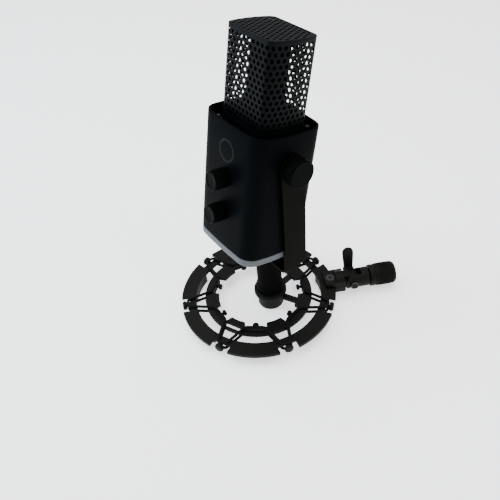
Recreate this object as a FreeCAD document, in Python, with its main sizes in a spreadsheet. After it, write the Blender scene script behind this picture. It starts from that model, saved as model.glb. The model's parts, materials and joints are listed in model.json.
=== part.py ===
import FreeCAD, Part
import math
import os

import Sketcher

# Condenser microphone in a U-shaped yoke, standing on the hub of an elastic shock mount whose outer
# ring carries a swivel adapter for a stand.  Millimetres, +Z up, the microphone's front faces -Y,
# the yoke's pivot lies along X, and the origin is under the hub, on the surface it stands on.

DOC = FreeCAD.newDocument("condenser_microphone")
SHEET = DOC.addObject("Spreadsheet::Sheet", "dims")
NODES = []

DIMENSIONS = [
    # heights above the table
    ("ring_level", 13.2, "middle of the two suspension rings"),
    ("pivot_level", 187.7, "tilt axis of the microphone"),
    ("tilt_angle", 11.5, "lean of the microphone, top towards the back"),
    # casing, measured from the tilt axis
    ("shell_half_width", 35.4, "half width at the corners"),
    ("shell_half_depth", 31.8, "half depth at the corners"),
    ("side_bulge", 3.2, "crown of the left and right faces"),
    ("front_bulge", 1.4, "crown of the front and back faces"),
    ("shell_corner", 13.0, "vertical corner radius"),
    ("shell_wall", 2.0, "wall of the casing"),
    ("shell_rise", 26.6, "tilt axis to rim"),
    ("shell_drop", 83.6, "tilt axis to lower edge"),
    ("band_depth", 7.2, "height of the light band"),
    ("band_wall", 3.0, "wall of the light band"),
    ("cover_thick", 3.0, "bottom cover"),
    ("deck_level", 14.0, "underside of the deck inside the rim"),
    ("deck_thick", 2.5, "deck plate"),
    # grille
    ("grille_half_width", 25.6, "half width at the corners"),
    ("grille_half_depth", 21.7, "half depth at the corners"),
    ("grille_bulge", 2.9, "crown of the left and right faces"),
    ("grille_flat_bulge", 0.25, "crown of the front and back faces"),
    ("grille_corner", 5.4, "vertical corner radius"),
    ("grille_wall", 1.0, "sheet thickness"),
    ("grille_rise", 92.6, "tilt axis to grille top"),
    ("grille_cap", 1.2, "top plate"),
    ("grille_foot", 5.0, "height of the base frame"),
    # capsule and screen
    ("capsule_level", 65.0, "tilt axis to capsule axis"),
    ("capsule_radius", 12.0, "capsule housing"),
    ("capsule_depth", 12.0, "capsule housing along its axis"),
    ("membrane_radius", 10.0, "diaphragm"),
    ("foam_half_width", 14.0, "foam screen"),
    ("foam_half_depth", 10.5, "foam screen"),
    ("foam_wall", 1.2, "foam screen"),
    # controls
    ("knob_radius", 8.25, "front control knob"),
    ("knob_length", 13.0, "front control knob"),
    ("knob_gap", 0.5, "knob to casing"),
    ("gain_drop", 19.2, "tilt axis to upper knob"),
    ("volume_drop", 50.5, "tilt axis to lower knob"),
    ("knob_shaft", 3.0, "shaft radius"),
    ("touch_rise", 4.1, "tilt axis to touch pad"),
    ("touch_radius", 9.65, "touch pad"),
    # tilt knobs
    ("thumb_radius", 11.75, "tilt knob"),
    ("thumb_length", 10.5, "tilt knob"),
    ("stud_radius", 2.95, "tilt stud"),
    ("bush_radius", 5.1, "threaded bush in the casing"),
    ("washer_radius", 9.0, "friction washer"),
    # yoke
    ("yoke_half_span", 42.3, "outer face of an arm"),
    ("yoke_sheet", 2.5, "thickness of the bar"),
    ("yoke_width", 23.0, "width of the bar"),
    ("yoke_drop", 110.2, "tilt axis to underside"),
    ("yoke_bend", 8.0, "outer bend radius"),
    # stem and hub
    ("stem_radius", 12.1, "stem under the yoke"),
    ("stem_foot", 21.8, "underside of the stem above the table"),
    ("collar_radius", 16.2, "lock collar"),
    ("collar_level", 14.4, "underside of the collar above the table"),
    ("hub_radius", 13.0, "hub"),
    ("hub_height", 14.2, "hub"),
    ("hub_stud_radius", 7.85, "threaded stud on the hub"),
    # suspension
    ("ring_count", 7, "pegs on each ring"),
    ("swivel_angle", 62.0, "direction of the stand adapter"),
    ("hub_offset", 12.6, "ring centre to hub, towards the adapter"),
    ("ring_plate", 3.5, "thickness of both rings"),
    ("outer_tab_radius", 78.0, "outer edge of a tab"),
    ("outer_bridge_radius", 69.8, "outer edge between tabs"),
    ("outer_bore_radius", 63.0, "inner edge of the outer ring"),
    ("outer_notch_width", 19.0, "gap between tabs"),
    ("rib_radius", 65.5, "middle of the foot ribs"),
    ("inner_ring_radius", 54.0, "outer edge of the inner ring"),
    ("inner_rim_radius", 45.0, "inner edge between tabs"),
    ("inner_tab_radius", 40.0, "inner edge of a tab"),
    ("inner_notch_width", 21.0, "gap between inner tabs"),
    ("spoke_width", 6.0, "spoke from hub to inner ring"),
    ("cord_radius", 1.25, "elastic cord"),
    ("cord_level", 3.15, "cord above and below the ring level"),
    # stand adapter, measured from the ring centre
    ("lug_start", 68.0, "inner end of the lug"),
    ("lug_end", 88.5, "outer end of the lug"),
    ("lug_width", 20.0, "lug"),
    ("lug_height", 13.0, "lug"),
    ("lug_barrel_radius", 10.4, "barrel at the outer end of the lug"),
    ("swivel_reach", 97.5, "swivel axis"),
    ("ear_radius", 8.7, "rounded end of the swivel clamp"),
    ("ear_outer", 9.8, "barrel of the swivel clamp"),
    ("tongue_half", 4.0, "half thickness of the tongue"),
    ("socket_start", 114.8, "inner end of the knurled socket"),
    ("socket_end", 141.3, "mouth of the knurled socket"),
    ("socket_radius", 11.6, "knurled socket"),
    ("thread_radius", 8.0, "five-eighths inch stand thread, with its clearance"),
]

AXES = {
    "+Z": FreeCAD.Rotation(),
    "-Z": FreeCAD.Rotation(FreeCAD.Vector(1, 0, 0), 180),
    "+X": FreeCAD.Rotation(FreeCAD.Vector(0, 1, 0), 90),
    "-X": FreeCAD.Rotation(FreeCAD.Vector(0, 1, 0), -90),
    "+Y": FreeCAD.Rotation(FreeCAD.Vector(1, 0, 0), -90),
    "-Y": FreeCAD.Rotation(FreeCAD.Vector(1, 0, 0), 90),
}


def write_sheet():
    for row, (alias, amount, meaning) in enumerate(DIMENSIONS, start=1):
        SHEET.set("A%d" % row, meaning)
        SHEET.set("B%d" % row, str(amount))
        SHEET.setAlias("B%d" % row, alias)
    DOC.recompute()


def number(expression):
    """Value of an expression on the sheet, or of a plain number."""
    if isinstance(expression, str):
        return float(SHEET.evalExpression(expression))
    return float(expression)


def bind(item, **sizes):
    for name, expression in sizes.items():
        if isinstance(expression, str):
            item.setExpression(name, expression)
        else:
            setattr(item, name, expression)
    return item


def spot(x=0, y=0, z=0, axis="+Z", turn=0):
    """Placement at a point, with the piece's own Z along the axis and then turned about Z."""
    place = FreeCAD.Vector(number(x), number(y), number(z))
    about_z = FreeCAD.Rotation(FreeCAD.Vector(0, 0, 1), turn)
    return FreeCAD.Placement(place, about_z.multiply(AXES[axis]))


def keep(item, label, placement=None):
    """Name a finished sub-part, seat it in its assembly and list it for export."""
    if placement is not None:
        item.Placement = placement.multiply(item.Placement)
    item.Label = label
    NODES.append(item)
    return item


# ---- primitives and booleans ------------------------------------------------------------------

def cylinder(name, radius, height, at=None):
    item = DOC.addObject("Part::Cylinder", name)
    bind(item, Radius=radius, Height=height)
    item.Placement = at or spot()
    return item


def block(name, length, width, height, at=None):
    item = DOC.addObject("Part::Box", name)
    bind(item, Length=length, Width=width, Height=height)
    item.Placement = at or spot()
    return item


def prism(name, corner_radius, height, at=None):
    item = DOC.addObject("Part::Prism", name)
    bind(item, Circumradius=corner_radius, Height=height)
    item.Polygon = 6
    item.Placement = at or spot()
    return item


def fuse(name, pieces):
    item = DOC.addObject("Part::MultiFuse", name)
    item.Shapes = pieces
    return item


def cut(name, base, tools):
    item = DOC.addObject("Part::Cut", name)
    item.Base = base
    item.Tool = tools[0] if len(tools) == 1 else fuse(name + "_tools", tools)
    return item


def common(name, first, second):
    item = DOC.addObject("Part::Common", name)
    item.Base = first
    item.Tool = second
    return item


# ---- bodies and sketches ------------------------------------------------------------------------

def new_sketch(body, name, role="XY_Plane", level=0):
    plane = next(item for item in body.Origin.OriginFeatures if item.Role == role)
    sketch = body.newObject("Sketcher::SketchObject", name)
    sketch.AttachmentSupport = [(plane, "")]
    sketch.MapMode = "FlatFace"
    if isinstance(level, str):
        sketch.setExpression("AttachmentOffset.Base.z", level)
    return sketch


def hold(sketch, geometry, end, direction, expression):
    """Fix one coordinate of a sketch point at its distance from the sketch origin."""
    amount = number(expression)
    if abs(amount) < 1e-9:
        axis = -2 if direction == "DistanceX" else -1
        sketch.addConstraint(Sketcher.Constraint("PointOnObject", geometry, end, axis))
        return
    if amount > 0:
        ends = (-1, 1, geometry, end)
    else:
        ends = (geometry, end, -1, 1)
    item = sketch.addConstraint(Sketcher.Constraint(direction, *ends, abs(amount)))
    if isinstance(expression, str):
        sign = "" if amount > 0 else "-"
        sketch.setExpression("Constraints[%d]" % item, "%s(%s)" % (sign, expression))


def outline(sketch, points):
    """Closed run of straight lines through the points."""
    corners = [FreeCAD.Vector(number(x), number(y), 0) for x, y in points]
    count = len(corners)
    first = sketch.GeometryCount
    for index, corner in enumerate(corners):
        sketch.addGeometry(Part.LineSegment(corner, corners[(index + 1) % count]), False)
    for index in range(count):
        following = first + (index + 1) % count
        sketch.addConstraint(Sketcher.Constraint("Coincident", first + index, 2, following, 1))
    for index, (x, y) in enumerate(points):
        hold(sketch, first + index, 1, "DistanceX", x)
        hold(sketch, first + index, 1, "DistanceY", y)


def circle(sketch, radius):
    item = sketch.addGeometry(Part.Circle(FreeCAD.Vector(), FreeCAD.Vector(0, 0, 1), number(radius)), False)
    sketch.addConstraint(Sketcher.Constraint("Coincident", item, 3, -1, 1))
    size = sketch.addConstraint(Sketcher.Constraint("Radius", item, number(radius)))
    if isinstance(radius, str):
        sketch.setExpression("Constraints[%d]" % size, radius)


def crowned_outline(sketch, half_x, half_y, crown_x, crown_y):
    """Rectangle whose four sides are shallow arcs that bow outwards."""
    reach_x, reach_y = number(half_x), number(half_y)
    corners = [(reach_x, -reach_y), (reach_x, reach_y), (-reach_x, reach_y), (-reach_x, -reach_y)]
    crowns = [(reach_x + number(crown_x), 0), (0, reach_y + number(crown_y)),
              (-reach_x - number(crown_x), 0), (0, -reach_y - number(crown_y))]
    for index in range(4):
        start, end = corners[index], corners[(index + 1) % 4]
        ends = [FreeCAD.Vector(*start, 0), FreeCAD.Vector(*crowns[index], 0), FreeCAD.Vector(*end, 0)]
        sketch.addGeometry(Part.Arc(*ends), False)
    for index in range(4):
        sketch.addConstraint(Sketcher.Constraint("Coincident", index, 2, (index + 1) % 4, 1))
    signs = [(1, -1), (1, 1), (-1, 1), (-1, -1)]
    for index, (sign_x, sign_y) in enumerate(signs):
        hold(sketch, index, 1, "DistanceX", "%d * (%s)" % (sign_x, half_x))
        hold(sketch, index, 1, "DistanceY", "%d * (%s)" % (sign_y, half_y))
    for index in range(4):
        half, crown = (half_y, crown_x) if index % 2 == 0 else (half_x, crown_y)
        rule = "((%s)^2 + (%s)^2) / (2 * (%s))" % (half, crown, crown)
        item = sketch.addConstraint(Sketcher.Constraint("Radius", index, number(rule)))
        sketch.setExpression("Constraints[%d]" % item, rule)


def new_body(name):
    return DOC.addObject("PartDesign::Body", name)


def padded(body, sketch, length, midplane=False):
    pad = body.newObject("PartDesign::Pad", sketch.Name + "_pad")
    pad.Profile = sketch
    bind(pad, Length=length)
    pad.Midplane = midplane
    sketch.Visibility = False
    return pad


def edges_along(feature, direction, test=lambda middle: True):
    """Names of a feature's straight edges along a direction whose middle passes a test."""
    DOC.recompute()
    names = []
    for index, edge in enumerate(feature.Shape.Edges, start=1):
        if len(edge.Vertexes) != 2 or not isinstance(edge.Curve, Part.Line):
            continue
        run = edge.Vertexes[1].Point.sub(edge.Vertexes[0].Point)
        if run.cross(direction).Length < 1e-6 * run.Length and test(edge.CenterOfMass):
            names.append("Edge%d" % index)
    return names


def rounded(body, feature, edges, radius):
    fillet = body.newObject("PartDesign::Fillet", feature.Name + "_rounded")
    fillet.Base = (feature, edges)
    bind(fillet, Radius=radius)
    return fillet


def crowned_block(name, half_x, half_y, crown_x, crown_y, corner, low, height):
    """Upright block with crowned sides and rounded corners."""
    body = new_body(name)
    sketch = new_sketch(body, name + "_outline", level=low)
    crowned_outline(sketch, half_x, half_y, crown_x, crown_y)
    pad = padded(body, sketch, height)
    rounded(body, pad, edges_along(pad, FreeCAD.Vector(0, 0, 1)), corner)
    return body


def shell_block(name, inset, low, height):
    """Block with the casing's outline, drawn in by an inset."""
    return crowned_block(
        name, "dims.shell_half_width - %s" % inset, "dims.shell_half_depth - %s" % inset,
        "dims.side_bulge", "dims.front_bulge", "dims.shell_corner - %s" % inset, low, height)


def grille_block(name, inset, low, height):
    """Block with the grille's outline, drawn in by an inset."""
    return crowned_block(
        name, "dims.grille_half_width - %s" % inset, "dims.grille_half_depth - %s" % inset,
        "dims.grille_bulge", "dims.grille_flat_bulge", "dims.grille_corner - %s" % inset, low, height)


def turned(name, profile):
    """Solid of revolution about Z from a profile of radius and height."""
    body = new_body(name)
    sketch = new_sketch(body, name + "_profile", "XZ_Plane")
    outline(sketch, profile)
    spin = body.newObject("PartDesign::Revolution", name + "_turned")
    spin.Profile = sketch
    spin.ReferenceAxis = (sketch, ["V_Axis"])
    spin.Angle = 360
    sketch.Visibility = False
    return body


def notched_ring(name, outer, bore, notches):
    """Flat ring on the ring level, with a pattern of square notches; each is x from, x to, width."""
    body = new_body(name)
    sketch = new_sketch(body, name + "_ring", level="-dims.ring_plate / 2")
    circle(sketch, outer)
    circle(sketch, bore)
    padded(body, sketch, "dims.ring_plate")
    for index, (start, end, width, turn) in enumerate(notches):
        DOC.recompute()
        whole = body.Shape.Volume
        plan = new_sketch(body, "%s_notch_%d" % (name, index), level="-dims.ring_plate")
        plan.AttachmentOffset = FreeCAD.Placement(
            plan.AttachmentOffset.Base, FreeCAD.Rotation(FreeCAD.Vector(0, 0, 1), turn))
        half = "(%s) / 2" % width
        outline(plan, [(start, "-" + half), (end, "-" + half), (end, half), (start, half)])
        pocket = body.newObject("PartDesign::Pocket", plan.Name + "_cut")
        pocket.Profile = plan
        bind(pocket, Length="2 * dims.ring_plate")
        pocket.Reversed = True
        plan.Visibility = False
        pattern = body.newObject("PartDesign::PolarPattern", plan.Name + "_round")
        pattern.Originals = [pocket]
        pattern.Axis = (plan, ["N_Axis"])
        pattern.Angle = 360
        bind(pattern, Occurrences="dims.ring_count")
        body.Tip = pattern
        DOC.recompute()
        if body.Shape.Volume > whole - 1:
            raise RuntimeError("%s: notch %d cuts nothing" % (name, index))
    return body


# ---- microphone casing ----------------------------------------------------------------------------

def make_casing(seat):
    tall = "dims.shell_drop + dims.shell_rise"
    outer = shell_block("shell_outer", "0", "-dims.shell_drop", tall)
    inner = shell_block("shell_inner", "dims.shell_wall", "-dims.shell_drop - 1", tall + " + 2")
    front = "-dims.shell_half_depth - dims.front_bulge - 5"
    holes = [cylinder("touch_hole", "dims.touch_radius + 0.05", 12, spot(0, front, "dims.touch_rise", "+Y"))]
    for name in ("gain", "volume"):
        drop = "-dims.%s_drop" % name
        holes.append(cylinder(name + "_hole", "dims.knob_shaft + 0.6", 12, spot(0, front, drop, "+Y")))
    holes.append(cylinder("pivot_hole", "dims.bush_radius", 100, spot(-50, 0, 0, "+X")))
    keep(cut("casing_shell", outer, [inner] + holes), "body_shell", seat)

    band_low = "-dims.shell_drop - dims.band_depth"
    band = shell_block("band_outer", "0", band_low, "dims.band_depth")
    band_inner = shell_block("band_inner", "dims.band_wall", band_low + " - 1", "dims.band_depth + 2")
    keep(cut("band", band, [band_inner]), "light_ring", seat)

    cover = shell_block("cover_plate", "(dims.band_wall + 0.05)", band_low + " + 0.5", "dims.cover_thick")
    sockets = [
        cylinder("xlr_opening", 9.6, 10, spot(0, 8, band_low + " - 2")),
        cylinder("jack_opening", 3.6, 10, spot(-13, -9, band_low + " - 2")),
        block("usb_opening", 9.2, 3.5, 10, spot(13.4, -15.75, band_low + " - 2")),
    ]
    keep(cut("cover", cover, sockets), "bottom_cover", seat)

    deck = shell_block("deck_blank", "(dims.shell_wall + 0.05)", "dims.deck_level", "dims.deck_thick")
    posts = []
    for side_x in (-1, 1):
        for side_y in (-1, 1):
            at = spot(side_x * 24.0, side_y * 25.8, "dims.deck_level + dims.deck_thick")
            posts.append(cylinder("deck_post_%d" % len(posts), 1.9, 5.0, at))
    wire_hole = cylinder("deck_wire_hole", 2.5, 10, spot(18, 0, "dims.deck_level - 2"))
    keep(cut("deck", deck, [wire_hole]), "deck_plate", seat)
    keep(fuse("deck_post_group", posts), "deck_posts", seat)

    heads = []
    for side_x in (-1, 1):
        for side_y in (-1, 1):
            at = spot(side_x * 24.0, side_y * 25.8, "dims.deck_level + dims.deck_thick + 5")
            heads.append(cylinder("deck_screw_%d" % len(heads), 1.6, 1.2, at))
    keep(fuse("deck_screw_heads", heads), "deck_screws", seat)

    bushes = []
    for side in (-1, 1):
        name, axis = ("bush_left", "-X") if side < 0 else ("bush_right", "+X")
        at = spot(side * 32.0, 0, 0, axis)
        bushes.append(cylinder(name + "_tube", "dims.bush_radius - 0.02", 6, at))
        bushes.append(cylinder(name + "_flange", 8.0, 2.0, at))
    bore = cylinder("bush_bore", "dims.stud_radius + 0.05", 100, spot(-50, 0, 0, "+X"))
    keep(cut("bushes", fuse("bush_blanks", bushes), [bore]), "pivot_bushes", seat)

    pad = cylinder("touch_disc", "dims.touch_radius", "dims.shell_wall",
                   spot(0, "-dims.shell_half_depth - dims.front_bulge + 0.1", "dims.touch_rise", "+Y"))
    keep(pad, "mute_touch_pad", seat)


def make_grille(seat):
    low = "dims.deck_level + dims.deck_thick"
    tall = "dims.grille_rise - dims.grille_cap - (%s)" % low
    outer = grille_block("grille_outer", "0", low, tall)
    inner = grille_block("grille_inner", "dims.grille_wall", low + " - 1", tall + " + 2")
    keep(cut("grille_wall_sheet", outer, [inner]), "grille_wall", seat)
    keep(grille_block("grille_cap_sheet", "0", "dims.grille_rise - dims.grille_cap", "dims.grille_cap"),
         "grille_top", seat)
    frame = grille_block("grille_frame", "(dims.grille_wall + 0.05)", low, "dims.grille_foot")
    hollow = grille_block("grille_frame_hollow", "(dims.grille_wall + 3.0)", low + " - 1", "dims.grille_foot + 2")
    keep(cut("grille_foot_frame", frame, [hollow]), "grille_base_frame", seat)


def make_capsule(seat):
    floor = "dims.deck_level + dims.deck_thick"
    back = "-dims.capsule_depth / 2"
    housing = cylinder("housing", "dims.capsule_radius", "dims.capsule_depth",
                       spot(0, back, "dims.capsule_level", "+Y"))
    bore = cylinder("housing_bore", "dims.membrane_radius + 0.1", 40, spot(0, -20, "dims.capsule_level", "+Y"))
    keep(cut("capsule_ring", housing, [bore]), "capsule_housing", seat)
    plate = cylinder("plate", "dims.membrane_radius + 0.1", 5.0, spot(0, -2.5, "dims.capsule_level", "+Y"))
    keep(plate, "capsule_backplate", seat)
    films = [cylinder("film_front", "dims.membrane_radius", 0.3, spot(0, -3.4, "dims.capsule_level", "+Y")),
             cylinder("film_back", "dims.membrane_radius", 0.3, spot(0, 3.1, "dims.capsule_level", "+Y"))]
    keep(fuse("films", films), "capsule_diaphragms", seat)

    base = cylinder("cradle_base", 9.0, 2.0, spot(0, 0, floor))
    post = cylinder("cradle_post", 3.0, "dims.capsule_level - (%s)" % floor, spot(0, 0, floor))
    saddle = cylinder("cradle_saddle", "dims.capsule_radius + 0.7", 6.0, spot(0, -3, "dims.capsule_level", "+Y"))
    seat_bore = cylinder("cradle_bore", "dims.capsule_radius", 40, spot(0, -20, "dims.capsule_level", "+Y"))
    keep(cut("cradle", fuse("cradle_blank", [base, post, saddle]), [seat_bore]), "capsule_cradle", seat)

    foam_low = floor + " + 4"
    foam_tall = "dims.grille_rise - (%s) - 6" % foam_low
    outer = crowned_block("foam_outer", "dims.foam_half_width", "dims.foam_half_depth", "0.5", "0.5", "6",
                          foam_low, foam_tall)
    inner = crowned_block("foam_inner", "dims.foam_half_width - dims.foam_wall",
                          "dims.foam_half_depth - dims.foam_wall", "0.5", "0.5", "3",
                          foam_low + " - 1", foam_tall + " + 1 - dims.foam_wall")
    keep(cut("foam", outer, [inner]), "foam_screen", seat)


def make_electronics(seat):
    band_low = "-dims.shell_drop - dims.band_depth"
    keep(block("board_main", 46, 1.6, 70, spot(-23, 9.2, -62)), "main_board", seat)
    keep(block("board_controls", 24, 1.6, 70, spot(-12, -23.4, -62)), "control_board", seat)
    light_outer = shell_block("light_board_outer", "6", band_low + " + 4.2", "1.6")
    light_inner = shell_block("light_board_inner", "12", band_low + " + 3", "5")
    keep(cut("light_board", light_outer, [light_inner]), "led_board", seat)
    sockets_board = block("board_sockets", 46, 10, 1.6, spot(-23, -17, -80.6))
    keep(sockets_board, "socket_board", seat)
    front = "-dims.shell_half_depth - dims.front_bulge"
    for name in ("gain", "volume"):
        drop = "-dims.%s_drop" % name
        case = block(name + "_case", 14, 7, 14, spot(-7, -30.6, number(drop) - 7))
        bore = cylinder(name + "_case_bore", "dims.knob_shaft + 0.05", 20, spot(0, -40, drop, "+Y"))
        keep(cut(name + "_pot", case, [bore]), name + "_potentiometer", seat)
        shaft = cylinder(name + "_rod", "dims.knob_shaft", 17, spot(0, -24.5, drop, "-Y"))
        keep(shaft, name + "_shaft", seat)
        hollow = "dims.knob_shaft + 0.02"
        knob = turned(name + "_cap", [
            (hollow, 0), ("dims.knob_radius", 0), ("dims.knob_radius", "dims.knob_length - 0.8"),
            ("dims.knob_radius - 0.8", "dims.knob_length"), (0, "dims.knob_length"),
            (0, "dims.knob_length - 4.5"), (hollow, "dims.knob_length - 4.5")])
        knob.Placement = spot(0, front + " - dims.knob_gap", drop, "-Y")
        keep(knob, name + "_knob", seat)

    shell = turned("xlr_shell_body", [(8.0, 0), (9.5, 0), (9.5, 20), (0, 20), (0, 14), (8.0, 14)])
    shell.Placement = spot(0, 8, band_low + " + 0.5")
    keep(shell, "xlr_socket_shell", seat)
    insulator = cylinder("xlr_insert_blank", 7.95, 3.0, spot(0, 8, band_low + " + 11.5"))
    pins = []
    holes = []
    for index in range(3):
        angle = math.radians(90 + 120 * index)
        x, y = 4.0 * math.cos(angle), 8 + 4.0 * math.sin(angle)
        pins.append(cylinder("xlr_pin_%d" % index, 1.2, 11.5, spot(x, y, band_low + " + 3")))
        holes.append(cylinder("xlr_pin_hole_%d" % index, 1.22, 10, spot(x, y, band_low + " + 8")))
    keep(cut("xlr_insert", insulator, holes), "xlr_insulator", seat)
    keep(fuse("xlr_pin_group", pins), "xlr_pins", seat)

    can = block("usb_can", 9.0, 3.3, 8.0, spot(13.5, -15.65, band_low + " + 0.5"))
    mouth = block("usb_mouth", 8.2, 2.5, 7.0, spot(13.9, -15.25, band_low))
    keep(cut("usb_shell", can, [mouth]), "usb_socket", seat)
    jack = turned("jack_tube", [(1.8, 0), (3.5, 0), (3.5, 8.0), (0, 8.0), (0, 7.5), (1.8, 7.5)])
    jack.Placement = spot(-13, -9, band_low + " + 0.5")
    keep(jack, "headphone_socket", seat)


# ---- yoke -----------------------------------------------------------------------------------------

def make_yoke(seat):
    body = new_body("yoke_bar")
    sketch = new_sketch(body, "yoke_profile", "XZ_Plane")
    outer, inner = "dims.yoke_half_span", "(dims.yoke_half_span - dims.yoke_sheet)"
    low, floor, top = "-dims.yoke_drop", "(dims.yoke_sheet - dims.yoke_drop)", "dims.yoke_width / 2"
    outline(sketch, [
        (outer, low), (outer, top), (inner, top), (inner, floor),
        ("-" + inner, floor), ("-" + inner, top), ("-" + outer, top), ("-" + outer, low)])
    pad = padded(body, sketch, "dims.yoke_width", midplane=True)
    lower = number(low) + 0.01
    outside = edges_along(pad, FreeCAD.Vector(0, 1, 0), lambda middle: middle.z < lower)
    bend = rounded(body, pad, outside, "dims.yoke_bend")
    upper = number(floor)
    inside = edges_along(bend, FreeCAD.Vector(0, 1, 0),
                         lambda middle: abs(middle.z - upper) < 0.01 and abs(middle.x) < number(inner) + 0.01)
    rounded(body, bend, inside, "dims.yoke_bend - dims.yoke_sheet")
    span = 100
    round_end = cylinder("yoke_round_end", "dims.yoke_width / 2", span, spot(-span / 2, 0, 0, "+X"))
    straight = block("yoke_straight", span, "dims.yoke_width + 2", "dims.yoke_drop + 1",
                     spot(-span / 2, "-dims.yoke_width / 2 - 1", "-dims.yoke_drop - 1"))
    bar = common("yoke_round_bar", body, fuse("yoke_limits", [round_end, straight]))
    holes = [cylinder("yoke_pivot_holes", "dims.stud_radius + 0.35", span, spot(-span / 2, 0, 0, "+X")),
             cylinder("yoke_stem_hole", 4.1, 12, spot(0, 0, "-dims.yoke_drop - 4"))]
    keep(cut("yoke_drilled", bar, holes), "yoke_bracket", seat)

    washers = []
    thick = "dims.yoke_half_span - dims.yoke_sheet - dims.shell_half_width - dims.side_bulge - 0.1"
    for side, axis, name in ((-1, "-X", "left"), (1, "+X", "right")):
        start = "%d * (dims.shell_half_width + dims.side_bulge + 0.05)" % side
        washers.append(cylinder("friction_disc_" + name, "dims.washer_radius", thick, spot(start, 0, 0, axis)))
    bore = cylinder("friction_washer_bore", "dims.stud_radius + 0.35", span, spot(-span / 2, 0, 0, "+X"))
    keep(cut("friction_rings", fuse("friction_blanks", washers), [bore]), "friction_washers", seat)

    for side, axis, name in ((-1, "-X", "left"), (1, "+X", "right")):
        knob = turned("tilt_cap_" + name, [
            ("dims.stud_radius + 0.02", 0), ("dims.thumb_radius - 1.6", 0), ("dims.thumb_radius - 1.6", 1.2),
            ("dims.thumb_radius", 1.2), ("dims.thumb_radius", "dims.thumb_length - 0.8"),
            ("dims.thumb_radius - 0.8", "dims.thumb_length"), (0, "dims.thumb_length"),
            (0, 8), ("dims.stud_radius + 0.02", 8)])
        knob.Placement = spot("%d * (dims.yoke_half_span + 0.3)" % side, 0, 0, axis)
        keep(knob, "tilt_knob_" + name, seat)
        stud = cylinder("tilt_rod_" + name, "dims.stud_radius", 17, spot(side * 33.5, 0, 0, axis))
        keep(stud, "tilt_stud_" + name, seat)


def make_stem():
    yoke_under = "dims.pivot_level - dims.yoke_drop"
    bore = "dims.hub_stud_radius + 0.05"
    radius, foot = "dims.stem_radius", "dims.stem_foot"
    stem = turned("stem_turned_post", [
        (bore, foot), (radius + " + 1.0", foot), (radius + " + 1.0", foot + " + 2.0"),
        (radius + " + 0.2", foot + " + 2.6"), (radius + " + 0.2", foot + " + 3.6"),
        (radius + " + 1.0", foot + " + 4.2"), (radius + " + 1.0", foot + " + 6.2"),
        (radius, foot + " + 7.2"), (radius, yoke_under),
        (4.05, yoke_under), (4.05, yoke_under + " - 16"), (0, yoke_under + " - 16"),
        (0, "48"), (bore, "48")])
    keep(stem, "stand_stem")
    top = yoke_under + " + dims.yoke_sheet"
    washer = turned("stem_washer_ring", [(4.1, top), (8.0, top), (8.0, top + " + 1.2"), (4.1, top + " + 1.2")])
    keep(washer, "stem_washer")
    shank = cylinder("stem_bolt_shank", 4.0, 17, spot(0, 0, top + " - 15"))
    head = cylinder("stem_bolt_head", 6.5, 4, spot(0, 0, top + " + 1.2"))
    drive = prism("stem_bolt_drive", 2.9, 4, spot(0, 0, top + " + 2.8"))
    keep(cut("stem_bolt_solid", fuse("stem_bolt_blank", [shank, head]), [drive]), "stem_bolt")

    low, high = "dims.collar_level", "dims.stem_foot - 0.2"
    collar = turned("collar_ring", [
        (bore, low), ("dims.collar_radius - 0.8", low), ("dims.collar_radius", low + " + 0.8"),
        ("dims.collar_radius", high + " - 0.8"), ("dims.collar_radius - 0.8", high), (bore, high)])
    keep(collar, "lock_collar")
    stud = turned("hub_stud_rod", [(0, 3.0), ("dims.hub_stud_radius", 3.0), ("dims.hub_stud_radius", 45),
                                   ("dims.hub_stud_radius - 1", 46), (0, 46)])
    keep(stud, "hub_stud")


# ---- suspension -----------------------------------------------------------------------------------

def ring_spot(reach, side, rise, axis="+X", peg_angle=0.0):
    """Placement at a reach along a ring direction, sideways and up from the ring centre."""
    seat = ring_centre().multiply(spot(0, 0, 0, "+Z", peg_angle))
    return seat.multiply(spot(reach, side, rise, axis))


def ring_centre():
    """Ring centre on the ring level, with X towards the stand adapter."""
    swing = math.radians(number("dims.swivel_angle"))
    offset = -number("dims.hub_offset")
    return spot(offset * math.cos(swing), offset * math.sin(swing), "dims.ring_level", "+Z",
                number("dims.swivel_angle"))


def make_outer_ring(step):
    outer, bore = "dims.outer_tab_radius", "dims.outer_bore_radius"
    plate = notched_ring("outer_plate", outer, bore, [
        ("dims.outer_bridge_radius", outer + " + 5", "dims.outer_notch_width", step / 2)])
    ribs = turned("outer_ribs", [
        ("dims.rib_radius - 1", "-dims.ring_level"), ("dims.rib_radius + 1", "-dims.ring_level"),
        ("dims.rib_radius + 1", 0), ("dims.rib_radius - 1", 0)])
    gaps = []
    for index in range(int(number("dims.ring_count"))):
        at = spot(0, 0, 0, "+Z", step * (index + 0.5)).multiply(spot(40, -13, "-dims.ring_level - 2"))
        gaps.append(block("rib_gap_%d" % index, 60, 26, "dims.ring_level + 4", at))
    cut_ribs = cut("outer_rib_arcs", ribs, gaps)
    solid = fuse("outer_ring_solid", [plate, cut_ribs])
    bolt_hole = cylinder("outer_bolt_hole", 2.6, 20, spot(74.5, 0, -10))
    keep(cut("outer_ring_drilled", solid, [bolt_hole]), "outer_ring", ring_centre())


def peg_group(label, profile, reach, axis, angles):
    """One peg turned per angle, each a solid of its own in one node."""
    pegs = []
    for index, angle in enumerate(angles):
        peg = turned("%s_%d" % (label, index), profile)
        peg.Placement = ring_spot(reach, 0, 0, axis, angle)
        pegs.append(peg)
    keep(fuse(label + "_group", pegs), label)


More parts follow.
